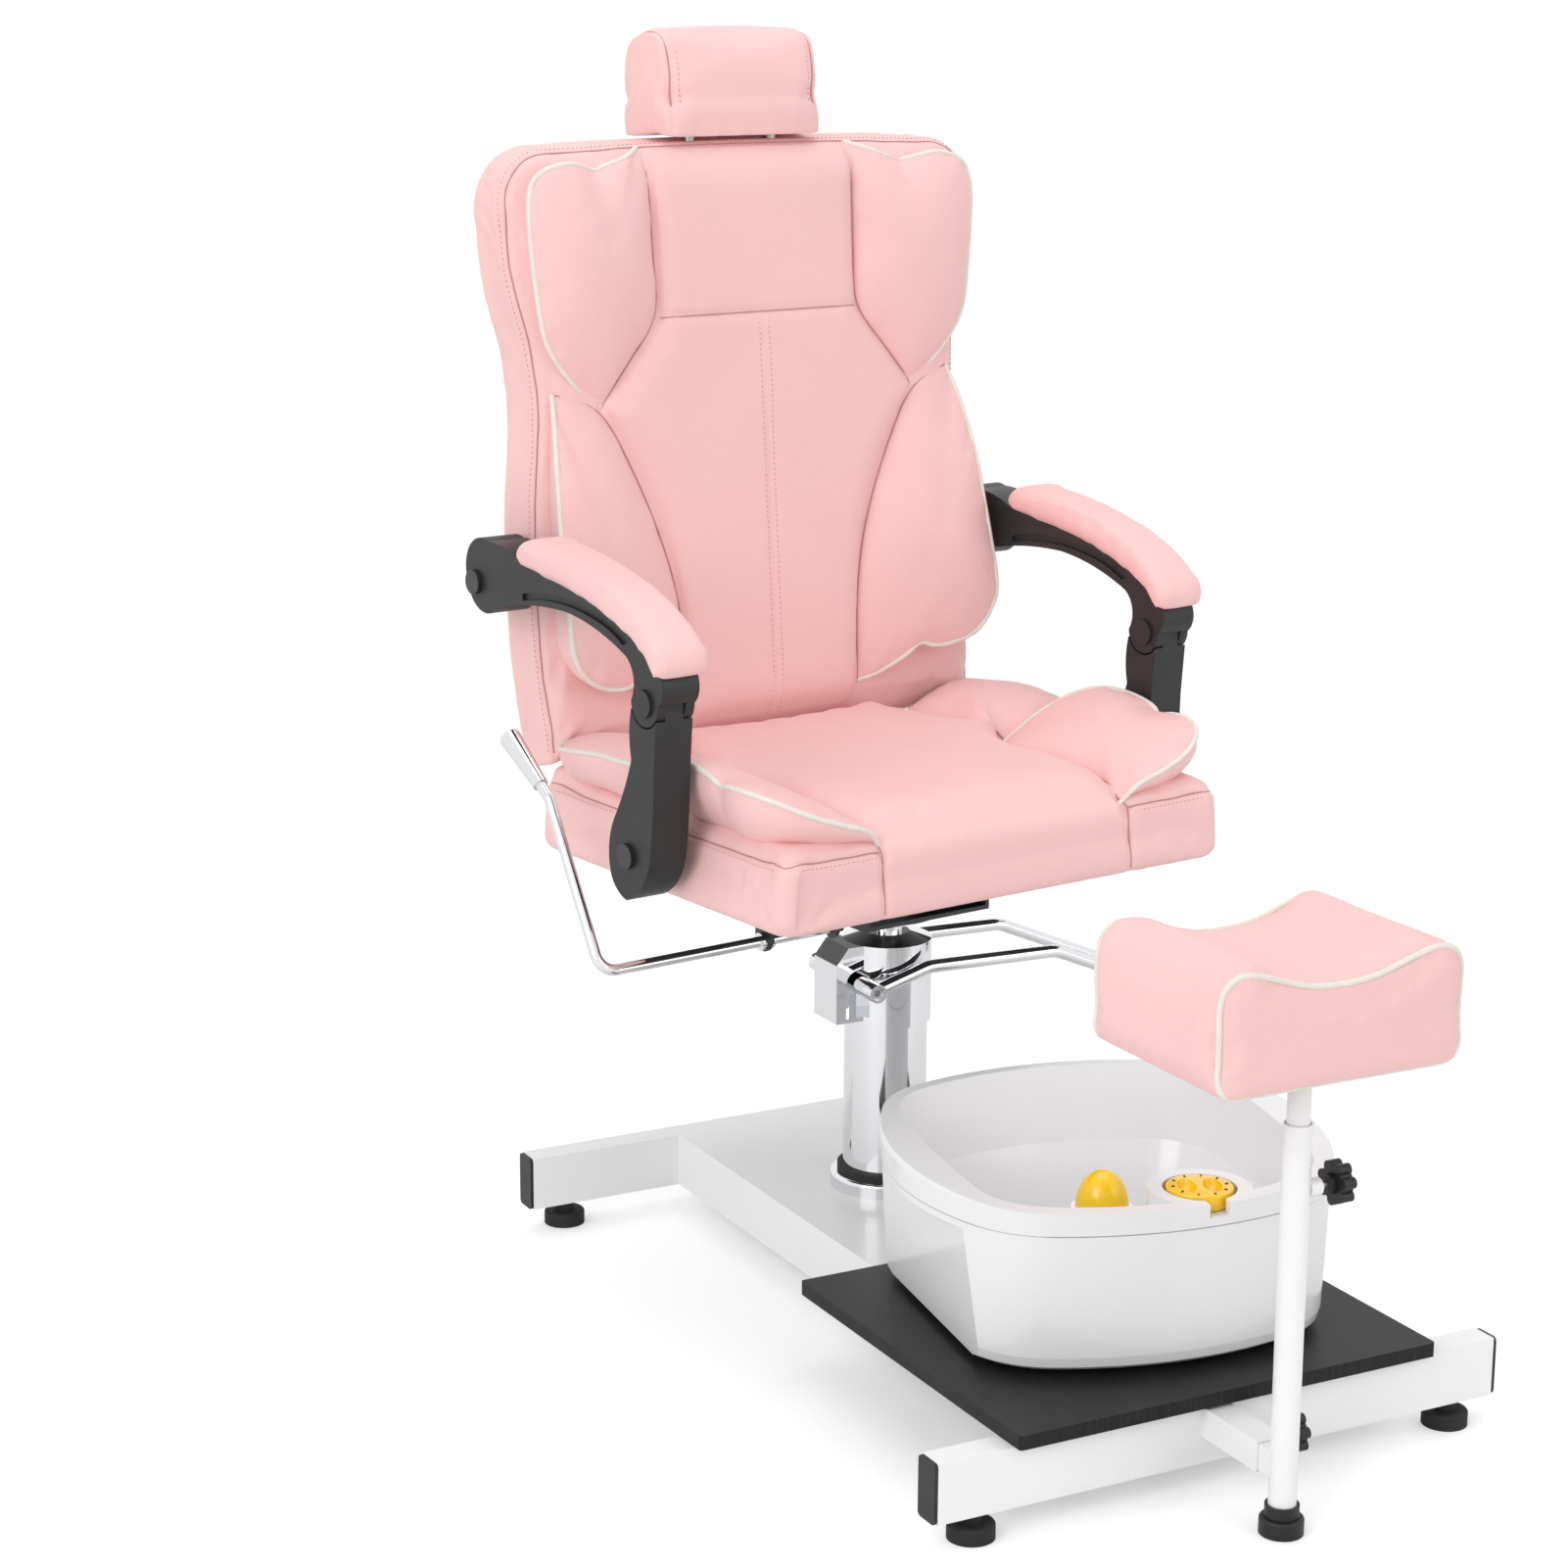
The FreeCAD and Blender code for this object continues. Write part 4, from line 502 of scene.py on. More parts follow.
def evened_loop(loop, rounds=12):
    """A closed line, whose last place is its first, with its wobbles taken out."""
    ring = np.array(loop[:-1], float)
    for _ in range(rounds):
        ring = (np.roll(ring, 1, 0) + np.roll(ring, -1, 0)) * 0.25 + ring * 0.5
    return np.array([*ring, ring[0]])


def on_side(side, points):
    """The points as they are on the left, for side 1, or mirrored to the right, for -1."""
    return [(side * point[0], *point[1:]) for point in points]


def share_of(distance, width):
    """0 where a distance is nothing or less, and 1 from width on."""
    return np.clip(distance / width, 0, 1)


def skin_of(piece):
    """The piece's surface, for finding places on it."""
    mesh = piece.data
    corners = [vertex.co for vertex in mesh.vertices]
    return BVHTree.FromPolygons(corners, [face.vertices[:] for face in mesh.polygons])


def laid_on(skin, places):
    """Each place moved to the nearest point of the surface, and the surface's normals there."""
    found = [skin.find_nearest(Vector(place))[:2] for place in places]
    return np.array([point for point, _ in found]), np.array([normal for _, normal in found])


def loop_round(skin, centre, first, second, count=120):
    """The places where rays from a centre, in the plane of two directions, leave the surface."""
    places = []
    for number in range(count):
        angle = 2 * math.pi * number / count
        ray = first * math.cos(angle) + second * math.sin(angle)
        hit = skin.ray_cast(centre + ray, -ray)[0]
        places.append(hit if hit is not None else centre)
    return np.array([*places, places[0]])


# Pieces
def new_piece(name, mesh):
    """An object of its own for a mesh."""
    piece = bpy.data.objects.new(name, mesh)
    bpy.context.scene.collection.objects.link(piece)
    return piece


def active_only(piece):
    """Selects the piece and nothing else."""
    bpy.ops.object.select_all(action="DESELECT")
    piece.select_set(True)
    bpy.context.view_layer.objects.active = piece


def copy_of(node, name):
    """A merged copy of a solid's mesh, as an object of its own."""
    piece = new_piece(name, NODES[node].data.copy())
    piece.data.materials.clear()
    active_only(piece)
    bpy.ops.object.mode_set(mode="EDIT")
    bpy.ops.mesh.select_all(action="SELECT")
    bpy.ops.mesh.remove_doubles(threshold=MERGE_DISTANCE)
    bpy.ops.mesh.customdata_custom_splitnormals_clear()
    bpy.ops.mesh.normals_make_consistent(inside=False)
    bpy.ops.object.mode_set(mode="OBJECT")
    return piece


def points_of(piece):
    """The places of the piece's vertices, one to a row."""
    places = np.zeros(len(piece.data.vertices) * 3)
    piece.data.vertices.foreach_get("co", places)
    return places.reshape(-1, 3)


def normals_of(piece):
    """The normals of the piece's vertices, one to a row."""
    normals = np.zeros(len(piece.data.vertices) * 3)
    piece.data.vertices.foreach_get("normal", normals)
    return normals.reshape(-1, 3)


def move_points(piece, places):
    """Puts the piece's vertices at the given places."""
    piece.data.vertices.foreach_set("co", np.asarray(places, float).reshape(-1))
    piece.data.update()


def smoothed(piece, rounds, free, share=0.5):
    """Evens out the places of the free vertices with their neighbours'."""
    places = points_of(piece)
    edges = np.zeros(len(piece.data.edges) * 2, int)
    piece.data.edges.foreach_get("vertices", edges)
    first, second = edges[0::2], edges[1::2]
    count = np.bincount(edges, minlength=len(places))[:, None]
    for _ in range(rounds):
        total = np.zeros_like(places)
        np.add.at(total, first, places[second])
        np.add.at(total, second, places[first])
        places += (total / count - places) * share * free[:, None]
    move_points(piece, places)


def inflate(piece, held, cap, pressure=CUSHION_PRESSURE):
    """Fills the piece by cloth pressure. Held vertices stay, and none moves further than cap."""
    start = points_of(piece)
    group = piece.vertex_groups.new(name="held")
    group.add([int(n) for n in np.nonzero(held)[0]], 1.0, "REPLACE")
    cloth = piece.modifiers.new("Filling", "CLOTH")
    cloth.settings.use_pressure = True
    cloth.settings.uniform_pressure_force = pressure
    cloth.settings.effector_weights.gravity = 0
    cloth.settings.vertex_group_mass = "held"
    scene = bpy.context.scene
    for number in range(1, FILLING_FRAMES + 1):
        scene.frame_set(number)
    settled = piece.evaluated_get(bpy.context.evaluated_depsgraph_get())
    places = np.zeros(len(start) * 3)
    settled.data.vertices.foreach_get("co", places)
    piece.modifiers.remove(cloth)
    scene.frame_set(1)
    moved = places.reshape(-1, 3) - start
    length = np.linalg.norm(moved, axis=1, keepdims=True)
    move_points(piece, start + moved * np.minimum(1, cap / np.maximum(length, 1e-9)))
    piece.vertex_groups.clear()


def remeshed(piece, cell):
    """Gives the piece an even mesh of square cells."""
    active_only(piece)
    piece.data.remesh_voxel_size = cell
    piece.data.remesh_voxel_adaptivity = 0
    bpy.ops.object.voxel_remesh()


def subdivided(piece):
    """Rounds the piece's mesh off once."""
    active_only(piece)
    finer = piece.modifiers.new("Finer", "SUBSURF")
    finer.levels = finer.render_levels = 1
    bpy.ops.object.modifier_apply(modifier=finer.name)


def press_seam(piece, line, width, depth):
    """Draws the surface in along a line of places."""
    places, normals = points_of(piece), normals_of(piece)
    low, high = line.min(0) - 3 * width, line.max(0) + 3 * width
    near = np.nonzero(((places > low) & (places < high)).all(1))[0]
    if not len(near):
        return
    away = np.full(len(near), 1e9)
    for start in range(0, len(line), PRESSED_AT_ONCE):
        part = line[start:start + PRESSED_AT_ONCE]
        gaps = np.linalg.norm(places[near][:, None] - part[None], axis=2).min(1)
        away = np.minimum(away, gaps)
    places[near] -= normals[near] * (depth * np.exp(-(away / width) ** 2))[:, None]
    move_points(piece, places)


def tubes(name, lines, radius, closed=False, round_steps=2):
    """Round cords along lines of places, as one piece."""
    curve = bpy.data.curves.new(name, "CURVE")
    curve.dimensions = "3D"
    for places in lines:
        spline = curve.splines.new("POLY")
        spline.points.add(len(places) - 1)
        for point, place in zip(spline.points, places):
            point.co = (*place, 1)
        spline.use_cyclic_u = closed
    curve.bevel_depth = radius
    curve.bevel_resolution = round_steps
    curve.use_fill_caps = not closed
    piece = bpy.data.objects.new(name, curve)
    bpy.context.scene.collection.objects.link(piece)
    active_only(piece)
    bpy.ops.object.convert(target="MESH")
    piece = bpy.context.view_layer.objects.active
    piece.name = name
    bpy.ops.object.shade_smooth()
    return piece


def stitches(name, rows, length, gap, radius=0.00055):
    """Rows of short stitches, each a thin diamond that lies on the surface."""
    corners, faces = [], []
    for places, normals in rows:
        gone = np.concatenate([[0], np.cumsum(np.linalg.norm(np.diff(places, axis=0), axis=1))])
        for start in np.arange(gap, gone[-1] - length, length + gap):
            ends = [np.array([np.interp(mark, gone, places[:, k]) for k in range(3)])
                    for mark in (start, start + length)]
            normal = normals[np.searchsorted(gone, start).clip(0, len(normals) - 1)]
            along = (ends[1] - ends[0]) / length
            side = np.cross(along, normal)
            middle = (ends[0] + ends[1]) / 2 + normal * radius * 0.8
            first = len(corners)
            corners += [ends[0], ends[1], middle + side * radius, middle - side * radius,
                        middle + normal * radius, middle - normal * radius * 2]
            for a, b in ((2, 4), (4, 3), (3, 5), (5, 2)):
                faces += [(first, first + a, first + b), (first + 1, first + b, first + a)]
    mesh = bpy.data.meshes.new(name)
    mesh.from_pydata([tuple(corner) for corner in corners], [], faces)
    return new_piece(name, mesh)


def finished(piece, material, body, smooth=True):
    """Gives a piece its material, and the body that it belongs to."""
    piece.data.materials.clear()
    piece.data.materials.append(bpy.data.materials[material])
    if smooth:
        active_only(piece)
        bpy.ops.object.shade_smooth()
    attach(piece, body)
    return piece


def sewing():
    """The settings of the sewn details."""
    return bpy.context.scene.chair_sewing


def sew(piece, lines):
    """Draws in every line on a piece, and returns where the painted shade at the bottom of each comes to lie."""
    skin = skin_of(piece)
    width, depth = sewing().seam_width, sewing().seam_depth
    seam_shade_lines = []
    for line in lines:
        places, normals = laid_on(skin, line)
        places, normals = evened(places), evened(normals)
        press_seam(piece, places, width, depth)
        seam_shade_lines.append(places - normals * depth * 0.8)
    return seam_shade_lines


def stitched(name, piece, lines, body):
    """Rows of stitches on a piece along the given lines."""
    skin = skin_of(piece)
    rows = []
    for line in lines:
        places, normals = laid_on(skin, line)
        rows.append((evened(places), evened(normals)))
    made = stitches(name, rows, sewing().stitch_length, sewing().stitch_gap)
    return finished(made, "thread", body, smooth=False)


def piped(name, places, body, closed=False):
    """Piping along a line of places."""
    return finished(tubes(name, [places], sewing().piping_radius, closed), "cream_piping", body)


def seam_shade_tubes(name, seam_shade_lines, body, closed=False):
    """Thin dark tubes at the bottom of each seam: painted shade in its crease."""
    made = tubes(name, seam_shade_lines, sewing().seam_shade_radius, closed, round_steps=1)
    return finished(made, "seam_painted_shade", body)


# Bolsters: a sewn pillow between an inner seam and an outer piped edge
INNER_STEPS, OUTER_STEPS = 36, 60
TOP_RINGS = (0.985, 0.95, 0.89, 0.8, 0.68, 0.54, 0.38, 0.2)
SIDE_RINGS = ((0.35, 0.5), (0.7, 0.7))
RIM_RING = 1 + len(SIDE_RINGS)
BULGE_SHARE = 0.6
CROWN_SHARE = 0.03
# How deep a bolster's foot lies, in the cushion and under its rim, and how deep its seam
BOLSTER_SINK = 0.003
RIM_DROP = 0.002
SEAM_SINK = 0.001
# How far the painted seam shade stands off, how high the gathers are, and where the search starts
SEAM_SHADE_LIFT = 0.0014
GATHERS = 0.0008
PROBE_HEIGHT = 0.09


def evenly(points, count):
    """A number of places, evenly set, on a smooth line through the points."""
    fine = smooth_run(points, FINE_STEP)
    marks = np.linspace(0, len(fine) - 1, count, endpoint=False)
    return np.stack([np.interp(marks, np.arange(len(fine)), fine[:, k]) for k in range(3)], 1)


def pillow_rings(rim, puff):
    """Rings that climb from the rim to the crown, each rounder than the one before."""
    centre, count = rim.mean(0), len(rim)
    turn = np.linspace(0, 2 * math.pi, count, endpoint=False)
    waves = np.maximum(np.abs(np.fft.fftfreq(count, 1 / count)) - 1, 0)
    flat_parts = np.fft.fft(rim[:, 0] - centre[0] + 1j * (rim[:, 1] - centre[1]))
    rise_parts = np.fft.fft(rim[:, 2] - centre[2])
    rings = []
    for share in TOP_RINGS:
        kept = np.exp(-(waves * (1 - share) * 0.5) ** 2)
        flat = np.fft.ifft(flat_parts * kept) * share
        rise = np.fft.ifft(rise_parts * kept).real * share
        gathers = GATHERS * share ** 9 * (np.sin(13 * turn) + np.sin(23 * turn + 1))
        rings.append(np.stack([flat.real + centre[0], flat.imag + centre[1],
                               centre[2] + rise + gathers + puff * (1 - share ** 2) ** 0.7], 1))
    return rings


def seam_height(skin, to_world, x, y):
    """How high a seam lies on a cushion at a flat place, in the bolster's own heights."""
    above, below = to_world(x, y, PROBE_HEIGHT), to_world(x, y, 0)
    distance = skin.ray_cast(above, (below - above).normalized())[3]
    return (PROBE_HEIGHT - distance if distance is not None else 0.0) - SEAM_SINK


def bolster(name, inner, outer, undercut, puff, to_world, cushion):
    """A pillow whose inner seam lies on a cushion and whose outer edge stands off it."""
    skin = skin_of(bpy.data.objects[cushion])
    ends = [(x, y, seam_height(skin, to_world, x, y)) for x, y in (inner[0], inner[-1])]
    seam = evenly([(x, y, 0.0) for x, y in inner], INNER_STEPS)
    seam[:, 2] = [seam_height(skin, to_world, x, y) for x, y in seam[:, :2]]
    outer = [ends[0], *outer, ends[1]]
    rim = np.concatenate([evened(seam, rounds=2), evenly(outer[::-1], OUTER_STEPS)])
    centre = rim.mean(0)
    weight = np.concatenate([np.zeros(INNER_STEPS),
                             np.sin(np.linspace(0, math.pi, OUTER_STEPS)) ** 0.35])
    inward = centre[:2] - rim[:, :2]
    inward /= np.linalg.norm(inward, axis=1, keepdims=True)
    foot = rim.copy()
    foot[:, :2] += inward * undercut * weight[:, None]
    foot[:, 2] = np.minimum(rim[:, 2] - RIM_DROP, -BOLSTER_SINK)
    rings = [foot]
    for share, bulge in SIDE_RINGS:
        ring = foot + (rim - foot) * share
        ring[:, :2] -= inward * undercut * bulge * weight[:, None] * BULGE_SHARE
        rings.append(ring)
    rings += [rim, *pillow_rings(rim, puff)]
    crown = rings[-1][:, 2].mean() + puff * CROWN_SHARE
    places = np.concatenate([*rings, [[centre[0], centre[1], -BOLSTER_SINK]],
                             [[centre[0], centre[1], crown]]])
    count, total = len(rim), len(rings)
    faces = []
    for level in range(total - 1):
        for n in range(count):
            following = (n + 1) % count
            faces.append((level * count + n, level * count + following,
                          (level + 1) * count + following, (level + 1) * count + n))
    for n in range(count):
        following = (n + 1) % count
        faces.append((count * total, following, n))
        faces.append((count * total + 1, (total - 1) * count + n,
                      (total - 1) * count + following))
    mesh = bpy.data.meshes.new(name)
    mesh.from_pydata([tuple(to_world(*place)) for place in places], [], faces)
    piece = new_piece(name, mesh)
    active_only(piece)
    bpy.ops.object.mode_set(mode="EDIT")
    bpy.ops.mesh.select_all(action="SELECT")
    bpy.ops.mesh.normals_make_consistent(inside=False)
    bpy.ops.object.mode_set(mode="OBJECT")
    held = np.zeros(len(places), bool)
    at_rim = slice(RIM_RING * count, (RIM_RING + 1) * count)
    held[:count] = held[at_rim] = held[-2] = True
    inflate(piece, held, sewing().fullness, BOLSTER_PRESSURE)
    settled = points_of(piece)[at_rim]
    subdivided(piece)
    return piece, settled[:INNER_STEPS + 1], np.concatenate([settled[INNER_STEPS:], settled[:1]])


def bolster_pair(name, node, inner, outer, undercut, puff, to_world, body, cushion):
    """The left and right bolsters of one kind, with their piping and inner seams."""
    pair = []
    for side, sign in (("left", 1), ("right", -1)):
        piece, seam, rim = bolster(f"{side}_{name}", on_side(sign, inner), on_side(sign, outer),
                                   undercut, puff, to_world, cushion)
        finished(piece, "pink_leather", body)
        piped(f"{side}_{name}_piping", rim, body)
        # A dark tube along the inner seam: painted shade in its crease
        lift = to_world(0, 0, SEAM_SHADE_LIFT) - to_world(0, 0, 0)
        seam_shade_tubes(f"{side}_{name}_fold", [evened(seam, rounds=3) + np.array(lift)], body)
        pair.append(piece)
    for piece in pair:
        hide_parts(node)


class FinishesOperator(bpy.types.Operator):
    """Make every finish and give each solid that stays its own."""

    bl_idname = "chair.finishes"
    bl_label = "Finishes"

    def execute(self, context):
        for packed in list(bpy.data.materials):
            packed.name = f"packed_{packed.name}"
        colours = context.scene.chair_colours
        # The middle of the massage dome, where the painted glow on the basin is brightest
        lamp_low, lamp_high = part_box("massage_dome")
        lamp = (lamp_low + lamp_high) / 2
        materials = {
            "pink_leather": soft_leather(colours.leather),
            "cream_piping": piping_cord(colours.piping),
            "thread": sewing_thread(colours.thread),
            # Painted shade for the creases of the seams
            "seam_painted_shade": seam_shadow("seam_painted_shade", colours.seam_shade),
            "joint_shadow": seam_shadow("joint_shadow", JOINT_GREY),
            "dial_mark": seam_shadow("dial_mark", MARK_BLACK),
            "frame_white": powder_coat("frame_white", colours.frame, 0.32),
            "black_steel": powder_coat("black_steel", STEEL_BLACK, 0.4),
            "chrome": polished_chrome(CHROME_TINT),
            "steel": plated_steel(STEEL_TINT),
            "grey_plastic": moulded_plastic("arm_plastic", colours.arms, 0.46),
            "black_plastic": moulded_plastic("black_plastic", PLASTIC_BLACK, 0.42),
            "black_rubber": moulded_plastic("black_rubber", RUBBER_BLACK, 0.7, 700.0),
            "board_black": board_laminate(PLASTIC_BLACK),
            "basin_white": basin_with_painted_glow(colours.basin, PAINTED_GLOW_BLUE, lamp),
            "yellow_plastic": gloss_plastic("yellow_plastic", colours.accent),
            "black_cloth": backing_cloth(CLOTH_BLACK),
        }
        for subpart in frame["record"]["subparts"]:
            node = NODES[subpart["node"]]
            node.data.materials.clear()
            node.data.materials.append(materials[subpart["material_slot"]])
        return {"FINISHED"}


# The hollow under the seat cushion: its half width, front, rear and top
SEAT_POCKET = (0.232, -0.166, 0.192, 0.447)
# The rounded front of the seat's middle, and the strip at the rear that meets the back
SEAT_ROLL_HALF_WIDTH = 0.150
SEAT_ROLL_REAR = -0.105
SEAT_ROLL_ROUNDS = 26
SEAT_STRIP_FRONT = 0.14
SEAT_STRIP_FOOT = 0.444
SEAT_STRIP_TOP = 0.4625
SEAT_STRIP_BLEND = 0.01
SEAT_STRIP_LIFT = 0.012
SEAT_BORDER_HEIGHT = SEAT_EDGE - 0.003
STITCH_DROP = 0.006
SEAT_BORDER = [
    (0.136, SEAT_FRONT), (0.205, SEAT_FRONT), (0.236, SEAT_FRONT + 0.003),
    (SEAT_HALF_WIDTH, SEAT_FRONT + 0.016), (SEAT_HALF_WIDTH, -0.07), (SEAT_HALF_WIDTH, 0.06),
    (SEAT_HALF_WIDTH, SEAT_REAR - 0.012),
]
SEAT_FRONT_SEAM = [
    (0.137, SEAT_FRONT - 0.004, SEAT_BOTTOM + 0.002),
    (0.136, SEAT_FRONT - 0.004, SEAT_EDGE - 0.020),
    (0.135, SEAT_FRONT + 0.004, SEAT_EDGE + 0.004),
    (0.134, SEAT_FRONT + 0.018, SEAT_EDGE + 0.010),
]
SEAT_PANEL_EDGE = [
    (0.134, -0.172, 0.440), (0.134, -0.160, 0.456), (0.147, -0.120, 0.464),
    (0.146, -0.080, 0.466), (0.141, -0.030, 0.466), (0.143, 0.010, 0.466),
    (0.165, 0.040, 0.466), (0.172, 0.046, 0.466), (0.154, 0.070, 0.468),
    (0.143, 0.110, 0.474), (0.135, 0.145, 0.478), (0.134, 0.186, 0.480),
]


class SeatCushionOperator(bpy.types.Operator):
    """Make the seat cushion with its border seam, front seams and stitches."""

    bl_idname = "chair.seat_cushion"
    bl_label = "Seat cushion"

    def execute(self, context):
        piece = copy_of("seat_cushion", "seat_upholstery")
        remeshed(piece, CUSHION_CELL)
        across, rearward, height = in_chair(points_of(piece)).T
        half_width, front, rear, top = SEAT_POCKET
        inside = (abs(across) < half_width) & (rearward > front) & (rearward < rear)
        held = (inside & (height < top)) | (height < SEAT_BOTTOM + HELD_RIM)
        smoothed(piece, SEAT_ROUNDS, (~held).astype(float))
        roll = (share_of(SEAT_ROLL_HALF_WIDTH - abs(across), BLEND)
                * share_of(SEAT_ROLL_REAR - rearward, BLEND) * (~held))
        smoothed(piece, SEAT_ROLL_ROUNDS, roll)
        inflate(piece, held, sewing().fullness)
        places = points_of(piece)
        rearward, height = in_chair(places)[:, 1:].T
        strip = (share_of(rearward - SEAT_STRIP_FRONT, BLEND)
                 * share_of(height - SEAT_STRIP_FOOT, SEAT_STRIP_BLEND))
        places[:, 2] += strip * np.clip(SEAT_STRIP_TOP - height, 0, SEAT_STRIP_LIFT)
        move_points(piece, places)
        subdivided(piece)
        border, panels, stitch_rows = [], [], []
        for side in (1, -1):
            for drop, keep in ((0.0, border), (STITCH_DROP, stitch_rows)):
                rows = [(side * x, y, SEAT_BORDER_HEIGHT - drop) for x, y in SEAT_BORDER]
                keep.append(seam_line(chair_point, rows))
            border.append(seam_line(chair_point, on_side(side, SEAT_FRONT_SEAM)))
            panels.append(seam_line(chair_point, on_side(side, SEAT_PANEL_EDGE)))
        seam_shade_lines = sew(piece, border)
        sew(piece, panels)
        finished(piece, "pink_leather", "seat")
        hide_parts("seat_cushion")
        # Dark tubes in the border seams: painted shade in their creases
        seam_shade_tubes("seat_seam_shade", seam_shade_lines, "seat")
        stitched("seat_stitches", piece, stitch_rows, "seat")
        return {"FINISHED"}


def on_seat(x, y, height):
    """A place over the seat, its height counted from the cushion's edge."""
    return chair_point(x, y, SEAT_EDGE + height)


FRONT_BOLSTER_INNER = [
    (0.134, -0.160), (0.147, -0.120), (0.146, -0.080), (0.141, -0.030), (0.143, 0.010),
    (0.165, 0.040),
]
FRONT_BOLSTER_OUTER = [
    (0.150, -0.167, 0.010), (0.178, -0.169, 0.020), (0.208, -0.165, 0.031),
    (0.233, -0.150, 0.043), (0.246, -0.124, 0.049), (0.247, -0.100, 0.049),
    (0.244, -0.088, 0.046), (0.247, -0.074, 0.053), (0.246, -0.040, 0.059),
    (0.240, -0.008, 0.058), (0.226, 0.018, 0.048), (0.200, 0.034, 0.030),
]
REAR_BOLSTER_INNER = [
    (0.172, 0.046), (0.154, 0.070), (0.143, 0.110), (0.135, 0.145), (0.134, 0.164),
]
REAR_BOLSTER_OUTER = [
    (0.205, 0.036, 0.024), (0.236, 0.040, 0.036), (0.244, 0.070, 0.038),
    (0.245, 0.100, 0.038), (0.243, 0.140, 0.033), (0.239, 0.172, 0.030),
    (0.205, 0.176, 0.032),
]


class SeatBolstersOperator(bpy.types.Operator):
    """Make the four bolsters that stand on the seat."""

    bl_idname = "chair.seat_bolsters"
    bl_label = "Seat bolsters"

    def execute(self, context):
        bolster_pair("front_bolster", "seat_front_bolsters", FRONT_BOLSTER_INNER,
                     FRONT_BOLSTER_OUTER, undercut=0.026, puff=0.016, to_world=on_seat,
                     body="seat", cushion="seat_upholstery")
        bolster_pair("rear_bolster", "seat_rear_bolsters", REAR_BOLSTER_INNER,
                     REAR_BOLSTER_OUTER, undercut=0.018, puff=0.022, to_world=on_seat,
                     body="seat", cushion="seat_upholstery")
        return {"FINISHED"}


BACK_SIDE = [
    (0.243, 0.006), (0.252, 0.070), (0.2555, 0.140), (0.254, 0.200), (0.249, 0.256),
    (0.243, 0.316), (0.250, 0.378), (0.262, 0.426), (0.265, 0.475), (0.258, 0.515),
    (0.236, 0.539), (0.205, 0.546), (0.120, 0.549), (0.0, 0.550),
]
BACK_PANEL_EDGE = [
    (0.095, 0.008), (0.098, 0.060), (0.101, 0.118), (0.110, 0.165), (0.1265, 0.214),
    (0.148, 0.262), (0.174, 0.310),
]
BACK_UPPER_EDGE = [
    (0.174, 0.312), (0.148, 0.345), (0.113, 0.388), (0.112, 0.436), (0.113, 0.490),
    (0.115, 0.541),
]
CROSS_SEAM_HEIGHT = 0.388
CROSS_SEAM_HALF_WIDTH = 0.111
# The two rows of stitches in the middle: how far off it, and the heights they pass
MIDDLE_ROWS = 0.0055
MIDDLE_STOPS = (0.004, 0.2, CROSS_SEAM_HEIGHT - 0.002)
# How far through the back each kind of line is given
BORDER_THROUGH = -0.001
BORDER_ROW_THROUGH = 0.007
PANEL_THROUGH = -0.008
CROSS_THROUGH = -0.011
MIDDLE_THROUGH = -0.012
# How much wider and higher the border's stitches run than its seam
BORDER_ROW_WIDER = 1.01
BORDER_ROW_HIGHER = 1.003
# The hollows behind the back cushion: half width, low and high end, and front
BACK_POCKET = (0.219, 0.018, 0.512, 0.034)
BACK_RAILS = (0.245, 0.110, 0.222, 0.008)
# The bottom edge of the back, pushed down to meet the seat, most beside the middle
BACK_HEM = 0.02
BACK_HEM_DROP = 0.005
BACK_HEM_SIDES = 0.10
BACK_HEM_SIDE_DROP = 0.007


class BackCushionOperator(bpy.types.Operator):
    """Make the back cushion with its panel seams, border seam and double middle seam."""

    bl_idname = "chair.back_cushion"
    bl_label = "Back cushion"

    def execute(self, context):
        piece = copy_of("back_cushion", "back_upholstery")
        remeshed(piece, CUSHION_CELL)
        across, through, up = in_back(points_of(piece)).T
        held = through > BACK_THICKNESS - HELD_RIM
        for half_width, low, high, front in (BACK_POCKET, BACK_RAILS):
            held |= (abs(across) < half_width) & (up > low) & (up < high) & (through > front)
        smoothed(piece, BACK_ROUNDS, (~held).astype(float))
        inflate(piece, held, sewing().fullness)
        places = points_of(piece)
        across, up = in_back(places)[:, ::2].T
        drop = BACK_HEM_DROP + BACK_HEM_SIDE_DROP * share_of(abs(across) - BACK_HEM_SIDES, BLEND)
        move_points(piece, places - np.outer(drop * share_of(BACK_HEM - up, BACK_HEM), UP_BACK))
        subdivided(piece)
        whole = BACK_SIDE + on_side(-1, reversed(BACK_SIDE[:-1]))
        lines = [seam_line(back_point, [(x, BORDER_THROUGH, up) for x, up in whole])]
        rows = [seam_line(back_point, [(x * BORDER_ROW_WIDER, BORDER_ROW_THROUGH,
                                        up * BORDER_ROW_HIGHER) for x, up in whole])]
        for side in (1, -1):
            for edge in (BACK_PANEL_EDGE, BACK_UPPER_EDGE):
                lines.append(seam_line(back_point, [(side * x, PANEL_THROUGH, up)
                                                    for x, up in edge]))
            rows.append(seam_line(back_point, [(side * MIDDLE_ROWS, MIDDLE_THROUGH, up)
                                               for up in MIDDLE_STOPS]))
        lines.append(seam_line(back_point, [(x * CROSS_SEAM_HALF_WIDTH, CROSS_THROUGH,
                                             CROSS_SEAM_HEIGHT) for x in (-1, 0, 1)]))
        seam_shade_lines = sew(piece, lines)
        finished(piece, "pink_leather", "back")
        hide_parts("back_cushion")
        # Dark tubes in the border and cross seams: painted shade in their creases
        seam_shade_tubes("back_seam_shade", [seam_shade_lines[0], seam_shade_lines[-1]], "back")
        stitched("back_stitches", piece, rows, "back")
        return {"FINISHED"}


